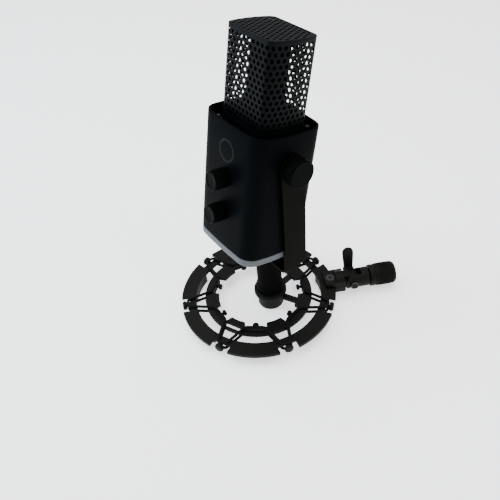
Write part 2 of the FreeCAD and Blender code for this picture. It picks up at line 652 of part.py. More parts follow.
def make_pegs(step):
    count = int(number("dims.ring_count"))
    bridge = "dims.outer_bridge_radius"
    outer = [(0, 0), (1.6, 0), (1.6, 3.1), (4.0, 3.1), (4.5, 3.9), (4.5, 6.4), (3.6, 7.4), (0, 7.4)]
    peg_group("outer_pegs", outer, bridge, "+X", [step * (index + 0.5) for index in range(count)])
    inner = [(0, 0), (1.6, 0), (1.6, 2.8), (2.7, 2.8), (3.1, 3.4), (3.1, 5.2), (2.4, 5.9), (0, 5.9)]
    peg_group("inner_pegs", inner, "dims.inner_rim_radius", "-X", [step * index for index in range(count)])


def make_inner_ring(step):
    half_step = step / 2
    plate = notched_ring("inner_plate", "dims.inner_ring_radius", "dims.inner_tab_radius", [
        ("dims.inner_tab_radius - 6", "dims.inner_rim_radius", "dims.inner_notch_width", 0)])
    slots = []
    for place in (-2.5, -2.0):
        at = spot(0, 0, 0, "+Z", step * place).multiply(spot("dims.inner_rim_radius + 1.6", -9.5, -3))
        slots.append(block("inner_slot_%d" % len(slots), 4.4, 19, 6, at))
    plate = cut("inner_slotted", plate, slots)
    hub = turned("hub_cup", [
        (0, 0), ("dims.hub_radius - 1.4", 0), ("dims.hub_radius - 0.4", 0.5), ("dims.hub_radius", 1.5),
        ("dims.hub_radius", "dims.hub_height"), ("dims.hub_stud_radius + 0.02", "dims.hub_height"),
        ("dims.hub_stud_radius + 0.02", 3), (0, 3)])
    hub.Placement = spot("dims.hub_offset", 0, "-dims.ring_level")
    spokes = []
    for side in (-1, 1):
        angle = math.radians(side * half_step)
        reach = number("dims.inner_tab_radius") + 2
        far = FreeCAD.Vector(reach * math.cos(angle), reach * math.sin(angle), 0)
        run = far.sub(FreeCAD.Vector(number("dims.hub_offset"), 0, 0))
        turn = math.degrees(math.atan2(run.y, run.x))
        start = number("dims.hub_radius") - 1.5
        at = spot("dims.hub_offset", 0, 0, "+Z", turn).multiply(spot(start, "-dims.spoke_width / 2", -2.5))
        spokes.append(block("spoke_%d" % (side + 1), run.Length - start, "dims.spoke_width", 3.5, at))
    keep(fuse("inner_ring_solid", [plate, hub] + spokes), "inner_ring", ring_centre())


def cord_tube(points, radius):
    """Round tube along straight runs joined by tangent arcs."""
    edges = []
    start = points[0]
    for before, corner, after in zip(points, points[1:], points[2:]):
        back = before.sub(corner).normalize()
        ahead = after.sub(corner).normalize()
        trim = 1.6
        entry, leave = corner.add(back * trim), corner.add(ahead * trim)
        half_turn = (math.pi - back.getAngle(ahead)) / 2
        bend = trim / math.tan(half_turn)
        inward = back.add(ahead).normalize()
        centre = corner.add(inward * math.hypot(trim, bend))
        middle = centre.sub(inward * bend)
        edges.append(Part.LineSegment(start, entry).toShape())
        edges.append(Part.Arc(entry, middle, leave).toShape())
        start = leave
    edges.append(Part.LineSegment(start, points[-1]).toShape())
    path = Part.Wire(edges)
    section = Part.Wire(Part.Circle(points[0], points[1].sub(points[0]), radius).toShape())
    return path.makePipeShell([section], True, False)


def make_cord(step):
    """Both strands of the elastic cord, parted half way between the rings."""
    half = math.radians(step / 2)
    radius, level = number("dims.cord_radius"), number("dims.cord_level")
    outer_reach = number("dims.outer_bridge_radius") + 1.5
    inner_reach = number("dims.inner_rim_radius") + 0.8

    def outer_point(side):
        return FreeCAD.Vector(outer_reach, side * 4.3, 0)

    def inner_point(side):
        """Near end of the run behind an inner peg, seen from the outer peg's direction."""
        spin = FreeCAD.Rotation(FreeCAD.Vector(0, 0, 1), math.degrees(side * half))
        return spin.multVec(FreeCAD.Vector(inner_reach, -side * 9.6, 0))

    def midway(side):
        return outer_point(side).add(inner_point(side)) * 0.5

    outer_path = [midway(-1), outer_point(-1), outer_point(1), midway(1)]
    forward = FreeCAD.Rotation(FreeCAD.Vector(0, 0, 1), step)
    inner_path = [midway(1), inner_point(1), forward.multVec(inner_point(-1)), forward.multVec(midway(-1))]
    for label, path in (("elastic_cord_outer", outer_path), ("elastic_cord_inner", inner_path)):
        solids = []
        for rise in (-level, level):
            lifted = [point.add(FreeCAD.Vector(0, 0, rise)) for point in path]
            for index in range(int(number("dims.ring_count"))):
                tube = cord_tube(lifted, radius)
                tube.rotate(FreeCAD.Vector(), FreeCAD.Vector(0, 0, 1), step * (index + 0.5))
                solids.append(tube)
        item = DOC.addObject("Part::Feature", label + "_strands")
        item.Shape = Part.makeCompound(solids)
        item.Placement = ring_centre()
        keep(item, label)


# ---- stand adapter --------------------------------------------------------------------------------

def make_adapter():
    seat = ring_centre()
    length = "dims.lug_end - dims.lug_start"
    body = block("lug_block", length, "dims.lug_width", "dims.lug_height",
                 spot("dims.lug_start", "-dims.lug_width / 2", "-dims.lug_height / 2"))
    tongue = block("lug_tongue", "dims.swivel_reach - dims.lug_end + 2", "2 * dims.tongue_half", 16,
                   spot("dims.lug_end - 2", "-dims.tongue_half", -8))
    eye = cylinder("lug_eye", 8.0, "2 * dims.tongue_half", spot("dims.swivel_reach", "-dims.tongue_half", 0, "+Y"))
    slot = block("lug_slot", "dims.outer_tab_radius - dims.lug_start + 1.05", "dims.lug_width + 4",
                 "dims.ring_plate + 0.06",
                 spot("dims.lug_start - 1", "-dims.lug_width / 2 - 2", "-dims.ring_plate / 2 - 0.03"))
    bolt_bore = cylinder("lug_bolt_bore", 2.6, 40, spot(74.5, 0, -20))
    recess = prism("lug_nut_recess", 5.2, 4, spot(74.5, 0, "dims.lug_height / 2 - 2.6"))
    pin_bore = cylinder("lug_pin_bore", "dims.stud_radius + 0.05", 40, spot("dims.swivel_reach", -20, 0, "+Y"))
    barrel = cylinder("lug_barrel", "dims.lug_barrel_radius", "dims.lug_end - dims.outer_tab_radius - 2.8",
                      spot("dims.outer_tab_radius + 1.5", 0, 0, "+X"))
    blank = fuse("lug_blank", [body, barrel, tongue, eye])
    lug = cut("lug_cut", blank, [slot, bolt_bore, recess, pin_bore])
    keep(lug, "swivel_lug", seat)
    shank = cylinder("lug_bolt_shank", 2.5, 11, spot(74.5, 0, -6))
    nut = prism("lug_bolt_head", 5.1, 2.4, spot(74.5, 0, "dims.lug_height / 2 - 2.55"))
    drive = prism("lug_bolt_drive", 1.8, 4, spot(74.5, 0, "dims.lug_height / 2 - 1.8"))
    keep(cut("lug_bolt_solid", fuse("lug_bolt_blank", [shank, nut]), [drive]), "lug_bolt", seat)

    clamp_end = "dims.socket_start - dims.swivel_reach - 1.6"
    barrel = cylinder("clamp_barrel", "dims.ear_outer", 40, spot("dims.swivel_reach - 15", 0, 0, "+X"))
    eye_limit = cylinder("clamp_eye_limit", "dims.ear_radius", 40, spot("dims.swivel_reach", -20, 0, "+Y"))
    arm_limit = block("clamp_arm_limit", clamp_end, 40, 40, spot("dims.swivel_reach", -20, -20))
    rounded_barrel = common("clamp_rounded", barrel, fuse("clamp_limits", [eye_limit, arm_limit]))
    neck = cylinder("clamp_neck", 6.0, 9.0, spot("dims.socket_start - 2.6", 0, 0, "+X"))
    gap = block("clamp_gap", 24.4, "2 * dims.tongue_half + 0.6", 40,
                spot("dims.swivel_reach - 16", "-dims.tongue_half - 0.3", -20))
    pin_hole = cylinder("clamp_pin_hole", "dims.stud_radius + 0.05", 40, spot("dims.swivel_reach", -20, 0, "+Y"))
    clamp = cut("clamp_cut", fuse("clamp_blank", [rounded_barrel, neck]), [gap, pin_hole])
    keep(clamp, "swivel_clamp", seat)

    length = "dims.socket_end - dims.socket_start"
    socket = turned("socket_turned", [
        (6.06, 0), ("dims.socket_radius - 0.8", 0), ("dims.socket_radius", 0.8),
        ("dims.socket_radius", length + " - 1.5"), ("dims.socket_radius - 1.5", length),
        ("dims.thread_radius", length), ("dims.thread_radius", 7.4), (6.06, 7.4)])
    socket.Placement = spot("dims.socket_start", 0, 0, "+X")
    keep(socket, "stand_socket", seat)

    shaft = cylinder("wing_shaft", "dims.stud_radius", 26, spot("dims.swivel_reach", -12.0, 0, "+Y"))
    boss = cylinder("wing_boss", 5.5, 6.5, spot("dims.swivel_reach", 10.2, 0, "+Y"))
    lean = spot("dims.swivel_reach", 0, 0).multiply(
        FreeCAD.Placement(FreeCAD.Vector(), FreeCAD.Rotation(FreeCAD.Vector(0, 1, 0), -4)))
    blade = block("wing_blade", 11, 4.5, 24.5, lean.multiply(spot(-5.5, 11.6, 0)))
    tip = cylinder("wing_tip", 5.5, 4.5, lean.multiply(spot(0, 11.6, 24.5, "+Y")))
    keep(fuse("wing_solid", [shaft, boss, blade, tip]), "wing_screw", seat)
    nut = prism("swivel_nut_blank", 4.6, 1.8, spot("dims.swivel_reach", -11.7, 0, "+Y"))
    nut_bore = cylinder("swivel_nut_bore", "dims.stud_radius + 0.05", 10, spot("dims.swivel_reach", -15, 0, "+Y"))
    keep(cut("swivel_nut_solid", nut, [nut_bore]), "swivel_nut", seat)


# ---- checks and export -----------------------------------------------------------------------------

def export():
    DOC.recompute()
    for item in DOC.Objects:
        if "Invalid" in item.State or "Error" in item.State:
            raise RuntimeError("%s (%s) is not built: %s" % (item.Name, item.Label, item.State))
    labels = [item.Label for item in NODES]
    if len(set(labels)) != len(labels):
        raise RuntimeError("two sub-parts share a label")
    for item in NODES:
        if item.Shape.isNull() or not item.Shape.isValid() or not item.Shape.Solids:
            raise RuntimeError("%s has no valid solid" % item.Label)
    os.makedirs("parts", exist_ok=True)
    for item in NODES:
        item.Shape.exportStep("parts/%s.step" % item.Label)
        box = item.Shape.BoundBox
        print("%-22s %2d solid(s) %9.1f mm3  z %.1f to %.1f" % (
            item.Label, len(item.Shape.Solids), item.Shape.Volume, box.ZMin, box.ZMax))


def main():
    write_sheet()
    upright = spot(0, 0, "dims.pivot_level")
    lean = FreeCAD.Rotation(FreeCAD.Vector(1, 0, 0), -number("dims.tilt_angle"))
    microphone = upright.multiply(FreeCAD.Placement(FreeCAD.Vector(), lean))
    make_casing(microphone)
    make_grille(microphone)
    make_capsule(microphone)
    make_electronics(microphone)
    make_yoke(upright)
    make_stem()
    step = 360.0 / number("dims.ring_count")
    make_outer_ring(step)
    make_inner_ring(step)
    make_pegs(step)
    make_cord(step)
    make_adapter()
    export()


main()
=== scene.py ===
import json
import logging
import math
from dataclasses import dataclass, field, replace
from enum import Enum
from typing import Any, Callable, Iterable, Sequence

import bmesh
import bpy
from mathutils import Matrix, Vector


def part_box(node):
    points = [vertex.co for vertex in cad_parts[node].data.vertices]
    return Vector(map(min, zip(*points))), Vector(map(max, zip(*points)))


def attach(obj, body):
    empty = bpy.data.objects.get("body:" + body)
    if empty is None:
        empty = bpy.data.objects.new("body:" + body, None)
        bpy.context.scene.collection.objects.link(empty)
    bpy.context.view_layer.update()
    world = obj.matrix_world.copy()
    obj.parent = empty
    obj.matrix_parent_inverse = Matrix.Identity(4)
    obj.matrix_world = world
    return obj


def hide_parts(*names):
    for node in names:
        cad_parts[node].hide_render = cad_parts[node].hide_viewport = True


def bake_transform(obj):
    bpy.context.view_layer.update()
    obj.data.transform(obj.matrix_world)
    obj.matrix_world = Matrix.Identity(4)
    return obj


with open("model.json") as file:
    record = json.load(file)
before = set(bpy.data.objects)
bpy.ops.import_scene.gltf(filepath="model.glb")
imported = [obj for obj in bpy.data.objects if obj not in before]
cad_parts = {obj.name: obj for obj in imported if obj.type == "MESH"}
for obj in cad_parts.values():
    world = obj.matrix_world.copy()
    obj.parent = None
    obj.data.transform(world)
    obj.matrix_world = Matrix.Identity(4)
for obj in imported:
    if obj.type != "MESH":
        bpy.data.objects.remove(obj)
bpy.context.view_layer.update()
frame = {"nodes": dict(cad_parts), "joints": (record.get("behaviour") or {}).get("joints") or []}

LOG = logging.getLogger("microphone")
MM = 0.001
TAU = 2.0 * math.pi
WELD = 0.01
BEND_STEPS = 6
Point2 = tuple[float, float]
Point3 = tuple[float, float, float]


# ---- places taken from the frame ----


def joint(name: str) -> dict[str, Any]:
    """Return the record of one joint."""
    return next(item for item in frame["joints"] if item["name"] == name)


@dataclass(frozen=True)
class Seat:
    """The own axes of a sub-assembly, whose sizes are in millimetres."""

    origin: Vector
    x_axis: Vector
    z_axis: Vector

    def matrix(self) -> Matrix:
        """Return the transform from the sub-assembly's millimetres to the frame's metres."""
        y_axis = self.z_axis.cross(self.x_axis)
        turn = Matrix((self.x_axis, y_axis, self.z_axis)).transposed().to_4x4()
        return Matrix.Translation(self.origin) @ turn @ Matrix.Scale(MM, 4)


def microphone_seat() -> Seat:
    """Return the casing's axes: X along the pivot, Z towards the grille, origin on the pivot."""
    side = Vector(joint("mic_tilt")["axis"]).normalized()
    front = Vector(joint("gain_turn")["axis"]).normalized()
    return Seat(Vector(joint("mic_tilt")["pos_m"]), side, front.cross(side).normalized())


def upright_seat() -> Seat:
    """Return the yoke's axes, upright at the pivot."""
    return Seat(Vector(joint("mic_tilt")["pos_m"]), Vector((1, 0, 0)), Vector((0, 0, 1)))


def table_seat() -> Seat:
    """Return the axes of what stands on the table under the hub."""
    return Seat(Vector(), Vector((1, 0, 0)), Vector((0, 0, 1)))


def ring_seat(reach: float) -> Seat:
    """Return the shock mount's axes: origin at the ring centre, X towards the stand adapter.

    Args:
        reach: Distance from the ring centre to the adapter's tilt axis.

    Returns:
        The seat on the middle level of both rings.
    """
    along = Vector(joint("socket_spin")["axis"]).normalized()
    centre = Vector(joint("adapter_tilt")["pos_m"]) - along * reach * MM
    return Seat(centre, along, Vector((0, 0, 1)))


# ---- node graphs ----


def maths(operation: str, swapped: bool = False) -> Callable[..., "Value"]:
    """Make a method of Value that adds one Math node.

    Args:
        operation: The node's operation.
        swapped: Whether the method's own value is the second operand.

    Returns:
        The method; it takes the other operand, if the operation has one.
    """

    def method(self: "Value", *others: Any) -> "Value":
        """Add the node and return its result."""
        operands = (*others, self) if swapped else (self, *others)
        node = self.graph.add("ShaderNodeMath", dict(enumerate(operands)), operation=operation)
        return Value(self.graph, node.outputs[0])

    return method


class Value:
    """A number in a node tree; arithmetic on it adds Math nodes."""

    def __init__(self, graph: "Graph", socket: bpy.types.NodeSocket) -> None:
        """Wrap a socket of a graph."""
        self.graph = graph
        self.socket = socket

    __add__ = __radd__ = maths("ADD")
    __sub__ = maths("SUBTRACT")
    __rsub__ = maths("SUBTRACT", swapped=True)
    __mul__ = __rmul__ = maths("MULTIPLY")
    __truediv__ = maths("DIVIDE")
    __mod__ = maths("FLOORED_MODULO")
    __pow__ = maths("POWER")
    __abs__ = maths("ABSOLUTE")
    __gt__ = maths("GREATER_THAN")
    sine = maths("SINE")
    rounded = maths("ROUND")
    fraction = maths("FRACT")


class Graph:
    """A node tree under construction."""

    def __init__(self, tree: bpy.types.NodeTree) -> None:
        """Start from an empty tree."""
        self.tree = tree
        tree.nodes.clear()

    def add(
        self, kind: str, inputs: dict[str | int, Any] | None = None, **settings: Any,
    ) -> bpy.types.Node:
        """Add a node.

        Args:
            kind: The node's type.
            inputs: What its sockets take, by name or number; a node stands for its first output.
            settings: Its properties, set before its sockets.

        Returns:
            The new node.
        """
        node = self.tree.nodes.new(kind)
        for name, setting in settings.items():
            setattr(node, name, setting)
        for key, source in (inputs or {}).items():
            if isinstance(source, Value):
                source = source.socket
            elif isinstance(source, bpy.types.Node):
                source = source.outputs[0]
            if isinstance(source, bpy.types.NodeSocket):
                self.tree.links.new(source, node.inputs[key])
            else:
                node.inputs[key].default_value = source
        return node

    def value(self, socket: bpy.types.NodeSocket) -> Value:
        """Wrap a socket for arithmetic."""
        return Value(self, socket)


class Recipe(Graph):
    """A Geometry Nodes tree that is applied to a piece and then baked into its mesh."""

    def __init__(self, name: str) -> None:
        """Make the tree with its geometry input and output."""
        super().__init__(bpy.data.node_groups.new(name, "GeometryNodeTree"))
        self.sockets: dict[str, Any] = {}
        for direction in ("INPUT", "OUTPUT"):
            self.tree.interface.new_socket("Geometry", in_out=direction, socket_type="NodeSocketGeometry")
        self.source = self.tree.nodes.new("NodeGroupInput")

    def number(self, label: str, kind: str = "NodeSocketFloat") -> Value:
        """Add a named input of a socket type and return its value."""
        self.sockets[label] = self.tree.interface.new_socket(label, in_out="INPUT", socket_type=kind)
        return self.value(self.source.outputs[label])

    def position(self) -> tuple[Value, Value]:
        """Return each point's X and Y."""
        split = self.add("ShaderNodeSeparateXYZ", {0: self.add("GeometryNodeInputPosition")})
        return self.value(split.outputs["X"]), self.value(split.outputs["Y"])

    def close(self, geometry: bpy.types.Node) -> None:
        """End the tree in Realize Instances and Set Material.

        Args:
            geometry: The node with the finished geometry.
        """
        real = self.add("GeometryNodeRealizeInstances", {"Geometry": geometry})
        finish = self.number("Finish", "NodeSocketMaterial")
        dressed = self.add(
            "GeometryNodeSetMaterial", {"Geometry": real, "Material": finish})
        self.add("NodeGroupOutput", {0: dressed})

    def apply(self, piece: bpy.types.Object, **values: Any) -> None:
        """Run the tree on a piece and bake the result.

        Args:
            piece: The host object.
            values: The named inputs, with underscores for spaces.
        """
        modifier = piece.modifiers.new(self.tree.name, "NODES")
        modifier.node_group = self.tree
        for label, value in values.items():
            modifier[self.sockets[label.replace("_", " ")].identifier] = value
        bake(piece)


def bake(piece: bpy.types.Object) -> None:
    """Turn a piece's modifiers into plain mesh.

    Args:
        piece: The object to bake; its modifiers are removed.
    """
    graph = bpy.context.evaluated_depsgraph_get()
    graph.update()
    result = bpy.data.meshes.new_from_object(piece.evaluated_get(graph))
    piece.modifiers.clear()
    piece.data = result
    result.name = piece.name


def polar_recipe() -> Recipe:
    """Build the tree that repeats a piece around its Z axis.

    Returns:
        A recipe with a count and a start angle.
    """
    recipe = Recipe("around_the_axis")
    count = recipe.number("Count", "NodeSocketInt")
    start = recipe.number("Start angle")
    line = recipe.add("GeometryNodeMeshLine", {"Count": count, "Offset": (0.0, 0.0, 0.0)})
    index = recipe.value(recipe.add("GeometryNodeInputIndex").outputs[0])
    turn = recipe.add("ShaderNodeCombineXYZ", {"Z": start + index * TAU / count})
    spread = recipe.add("GeometryNodeInstanceOnPoints", {
        "Points": line,
        "Instance": recipe.source,
        "Rotation": turn,
    })
    recipe.close(spread)
    return recipe


def staggered_points(recipe: Recipe, columns: Value, rows: Value) -> bpy.types.Node:
    """Lay out points in staggered rows, one unit apart, from the origin.

    Args:
        recipe: The tree to add to.
        columns: Points in a row.
        rows: Number of rows.

    Returns:
        The node with the points.
    """
    grid = recipe.add("GeometryNodeMeshGrid", {
        "Size X": columns - 1, "Size Y": rows - 1, "Vertices X": columns, "Vertices Y": rows})
    row = (recipe.position()[1] + (rows - 1) / 2).rounded()
    shift = recipe.add("ShaderNodeCombineXYZ", {
        "X": (columns - 1) / 2 + (row % 2) * 0.5, "Y": (rows - 1) / 2})
    return recipe.add("GeometryNodeSetPosition", {"Geometry": grid, "Offset": shift})


def wrapped_sheet_recipe() -> Recipe:
    """Build the tree that tiles a cell and wraps the sheet round an upright outline.

    Returns:
        A recipe whose host is one cell, one unit wide and tall.
    """
    recipe = Recipe("wrapped_sheet")
    outline = recipe.number("Outline", "NodeSocketObject")
    columns = recipe.number("Columns", "NodeSocketInt")
    rows = recipe.number("Rows", "NodeSocketInt")
    low = recipe.number("Low")
    high = recipe.number("High")
    tiled = recipe.add("GeometryNodeInstanceOnPoints", {
        "Points": staggered_points(recipe, columns, rows),
        "Instance": recipe.source,
    })
    flat = recipe.add("GeometryNodeRealizeInstances", {"Geometry": tiled})
    welded = recipe.add("GeometryNodeMergeByDistance", {"Geometry": flat, "Distance": WELD})
    x, y = recipe.position()
    along = (x / columns).fraction()
    climb = low + (high - low) * (y + 0.5) / rows
    curve = recipe.add("GeometryNodeObjectInfo", {"Object": outline}, transform_space="ORIGINAL")
    sample = recipe.add("GeometryNodeSampleCurve", {
        "Curves": curve.outputs["Geometry"], "Factor": along}, mode="FACTOR")
    plan = recipe.add("ShaderNodeSeparateXYZ", {0: sample.outputs["Position"]})
    target = recipe.add("ShaderNodeCombineXYZ", {
        "X": plan.outputs["X"], "Y": plan.outputs["Y"], "Z": climb})
    wrapped = recipe.add("GeometryNodeSetPosition", {"Geometry": welded, "Position": target})
    closed = recipe.add("GeometryNodeMergeByDistance", {"Geometry": wrapped, "Distance": WELD})
    recipe.close(closed)
    return recipe


def drilled_plate_recipe() -> Recipe:
    """Build the tree that drills staggered round holes through a flat plate.

    Returns:
        A recipe whose host is the plate; the holes stay inside a soft-cornered field.
    """
    recipe = Recipe("drilled_plate")
    columns = recipe.number("Columns", "NodeSocketInt")
    rows = recipe.number("Rows", "NodeSocketInt")
    pitch = recipe.number("Pitch")
    row_pitch = recipe.number("Row pitch")
    radius = recipe.number("Hole radius")
    reach_x = recipe.number("Reach X")
    reach_y = recipe.number("Reach Y")
    level = recipe.number("Level")
    points = staggered_points(recipe, columns, rows)
    x, y = recipe.position()
    target = recipe.add("ShaderNodeCombineXYZ", {
        "X": (x - (columns - 0.5) / 2) * pitch, "Y": (y - (rows - 1) / 2) * row_pitch, "Z": level})
    spread = recipe.add("GeometryNodeSetPosition", {"Geometry": points, "Position": target})
    x, y = recipe.position()
    outside = ((abs(x) / reach_x) ** 6.0 + (abs(y) / reach_y) ** 6.0) > 1.0
    kept = recipe.add("GeometryNodeDeleteGeometry", {
        "Geometry": spread, "Selection": outside}, domain="POINT")
    drill = recipe.add("GeometryNodeMeshCylinder", {"Vertices": 14, "Radius": radius, "Depth": 4.0})
    drills = recipe.add("GeometryNodeInstanceOnPoints", {"Points": kept, "Instance": drill})
    solid_drills = recipe.add("GeometryNodeRealizeInstances", {"Geometry": drills})
    cut = recipe.add("GeometryNodeMeshBoolean", {
        "Mesh 1": recipe.source, "Mesh 2": solid_drills}, operation="DIFFERENCE")
    recipe.close(cut)
    return recipe


# ---- finishes ----


class Grain(Enum):
    """The small-scale surface of a finish."""

    PAINT = "fine sprayed paint"
    MOULDED = "spark-eroded moulding"
    POWDER = "powder coat"
    TURNED = "machined metal"
    BRAID = "braided sleeve"
    FOAM = "open foam"
    FROSTED = "frosted light guide"
    BOARD = "circuit board"
    FLOOR = "studio floor"


@dataclass(frozen=True)
class Finish:
    """A surface finish; its slot is the record's material slot."""

    slot: str
    colour: Point3
    roughness: float
    grain: Grain
    grain_size: float = 0.4
    relief: float = 0.25
    mottle: float = 0.2
    metallic: float = 0.0
    specular: float = 0.5
    tone: str = ""
    glow: float = 0.0

    def material(self) -> bpy.types.Material:
        """Return the finish's material, made once.

        Returns:
            A node material on Object coordinates, or on the piece's UV map for a braid.
        """
        name = "finish_" + self.slot + self.tone
        if name in bpy.data.materials:
            return bpy.data.materials[name]
        material = bpy.data.materials.new(name)
        material.use_nodes = True
        graph = Graph(material.node_tree)
        coordinates = graph.add("ShaderNodeTexCoord")
        height = self.relief_pattern(graph, coordinates)
        cloud = self.noise(graph, coordinates.outputs["Object"], 18.0, 3.0)
        fine = self.noise(graph, coordinates.outputs["Object"], self.grain_size * 2.5, 2.0)
        dark = tuple(part * (1.0 - self.mottle) for part in self.colour) + (1.0,)
        light = tuple(min(1.0, part * (1.0 + self.mottle)) for part in self.colour) + (1.0,)
        blend = graph.add("ShaderNodeMix", {
            0: cloud * 0.65 + fine * 0.35, 6: dark, 7: light}, data_type="RGBA")
        rough = cloud * 0.10 + fine * 0.06 + (self.roughness - 0.08)
        bump = graph.add("ShaderNodeBump", {
            "Strength": self.relief, "Distance": self.grain_size * MM * 0.5, "Height": height})
        shader = graph.add("ShaderNodeBsdfPrincipled", {
            "Base Color": blend.outputs[2],
            "Roughness": rough,
            "Metallic": self.metallic,
            "Specular IOR Level": self.specular,
            "Emission Color": (1.0, 1.0, 1.0, 1.0),
            "Emission Strength": self.glow,
            "Normal": bump,
        })
        if self.grain is Grain.FROSTED:
            shader.inputs["Subsurface Weight"].default_value = 0.25
            shader.inputs["Subsurface Radius"].default_value = (0.004, 0.004, 0.004)
            shader.inputs["Subsurface Scale"].default_value = 1.0
        graph.add("ShaderNodeOutputMaterial", {"Surface": shader})
        return material

    def noise(self, graph: Graph, vector: bpy.types.NodeSocket, size: float, detail: float) -> Value:
        """Return a noise from 0 to 1, of a feature size in millimetres."""
        node = graph.add("ShaderNodeTexNoise", {
            "Vector": vector, "Scale": 1.0 / (size * MM), "Detail": detail, "Roughness": 0.55})
        return graph.value(node.outputs[0])

    def relief_pattern(self, graph: Graph, coordinates: bpy.types.Node) -> Value:
        """Add the height pattern of the grain.

        Args:
            graph: The material's tree.
            coordinates: The Texture Coordinate node.

        Returns:
            The height, about 0 to 1.
        """
        place = coordinates.outputs["Object"]
        if self.grain is Grain.BRAID:
            lay = graph.add("ShaderNodeSeparateXYZ", {0: coordinates.outputs["UV"]})
            around = graph.value(lay.outputs["X"]) * TAU * 6.0
            along = graph.value(lay.outputs["Y"]) * TAU / self.grain_size
            return (around + along).sine() * (around - along).sine() * 0.5 + 0.5
        if self.grain is Grain.FOAM:
            cells = graph.add("ShaderNodeTexVoronoi", {
                "Vector": place, "Scale": 1.0 / (self.grain_size * MM)})
            return graph.value(cells.outputs["Distance"])
        if self.grain is Grain.TURNED:
            stretch = graph.add("ShaderNodeMapping", {"Vector": place, "Scale": (0.15, 0.15, 1.0)})
            return self.noise(graph, stretch.outputs[0], self.grain_size, 2.0)
        if self.grain is Grain.BOARD:
            grid = graph.add("ShaderNodeTexBrick", {
                "Vector": place, "Scale": 1.0 / (self.grain_size * MM)})
            return graph.value(grid.outputs["Fac"])
        coarse = self.noise(graph, place, self.grain_size, 2.0)
        if self.grain is Grain.POWDER:
            return coarse * 0.6 + self.noise(graph, place, self.grain_size * 3.0, 1.0) * 0.4
        return coarse


CASING_BLACK = Finish(
    "casing_black", (0.0009, 0.0014, 0.0018), 0.50, Grain.PAINT, 0.25, 0.10, 0.2, specular=0.012)
KNOB_BLACK = Finish(
    "knob_black", (0.0010, 0.0012, 0.0012), 0.46, Grain.MOULDED, 0.22, 0.14, 0.2, specular=0.012)
GRILLE_BLACK = Finish(
    "grille_black", (0.0010, 0.0015, 0.0020), 0.42, Grain.POWDER, 0.3, 0.2, 0.25, specular=0.045)
BAND_GREY = Finish(
    "band_grey", (0.062, 0.070, 0.080), 0.50, Grain.FROSTED, 0.5, 0.05, 0.06, specular=0.2)
PLASTIC_BLACK = Finish(
    "plastic_black", (0.0018, 0.0018, 0.0017), 0.5, Grain.MOULDED, 0.3, 0.2, 0.3, specular=0.05)
YOKE_BLACK = Finish(
    "yoke_black", (0.0016, 0.0017, 0.0009), 0.50, Grain.PAINT, 0.3, 0.10, 0.2, specular=0.015)
MOUNT_BLACK = Finish(
    "mount_black", (0.0034, 0.0035, 0.0026), 0.55, Grain.MOULDED, 0.45, 0.22, 0.3, specular=0.08)
STEM_BLACK = Finish(
    "mount_black", (0.0012, 0.0012, 0.0010), 0.55, Grain.MOULDED, 0.45, 0.15, 0.3,
    specular=0.03, tone="_deep")
ELASTIC_BLACK = Finish(
    "elastic_black", (0.0028, 0.0028, 0.0026), 0.8, Grain.BRAID, 1.6 * MM, 0.9, 0.3, specular=0.1)
FOAM_BLACK = Finish(
    "foam_black", (0.0012, 0.0012, 0.0012), 0.95, Grain.FOAM, 1.1, 1.0, 0.4, specular=0.03)
STEEL = Finish("steel", (0.42, 0.42, 0.43), 0.32, Grain.TURNED, 0.2, 0.15, 0.1, 1.0)
DARK_STEEL = Finish(
    "blackened_steel", (0.012, 0.012, 0.012), 0.45, Grain.TURNED, 0.2, 0.2, 0.25, specular=0.3)
BRASS = Finish("brass", (0.66, 0.47, 0.22), 0.3, Grain.TURNED, 0.2, 0.15, 0.12, 1.0)
BOARD_GREEN = Finish("board_green", (0.012, 0.07, 0.035), 0.45, Grain.BOARD, 6.0, 0.3, 0.2)
TOUCH_FILM = Finish(
    "touch_film", (0.0008, 0.0018, 0.0030), 0.40, Grain.PAINT, 0.2, 0.05, 0.1, specular=0.03)
FILM_GOLD = Finish("film_gold", (0.75, 0.55, 0.2), 0.2, Grain.TURNED, 0.4, 0.1, 0.1, 1.0)
FLOOR_WHITE = Finish("floor_white", (0.93, 0.93, 0.93), 0.75, Grain.FLOOR, 6.0, 0.02, 0.01, glow=1.0)


# ---- mesh tools ----


def eased(points: Sequence[Point2], radius: float) -> list[Point2]:
    """Round the corners between the two ends of a run of points.

    Args:
        points: The run.
        radius: The largest rounding; short sides get less.

    Returns:
        The rounded run.
    """
    result = [points[0]]
    for before, corner, after in zip(points, points[1:], points[2:]):
        here = Vector(corner)
        back, ahead = Vector(before) - here, Vector(after) - here
        reach = min(radius, back.length * 0.45, ahead.length * 0.45)
        start, end = here + back.normalized() * reach, here + ahead.normalized() * reach
        for step in range(BEND_STEPS + 1):
            part = step / BEND_STEPS
            bent = start * (1 - part) ** 2 + here * 2 * part * (1 - part) + end * part**2
            result.append((bent.x, bent.y))
    return result + [points[-1]]


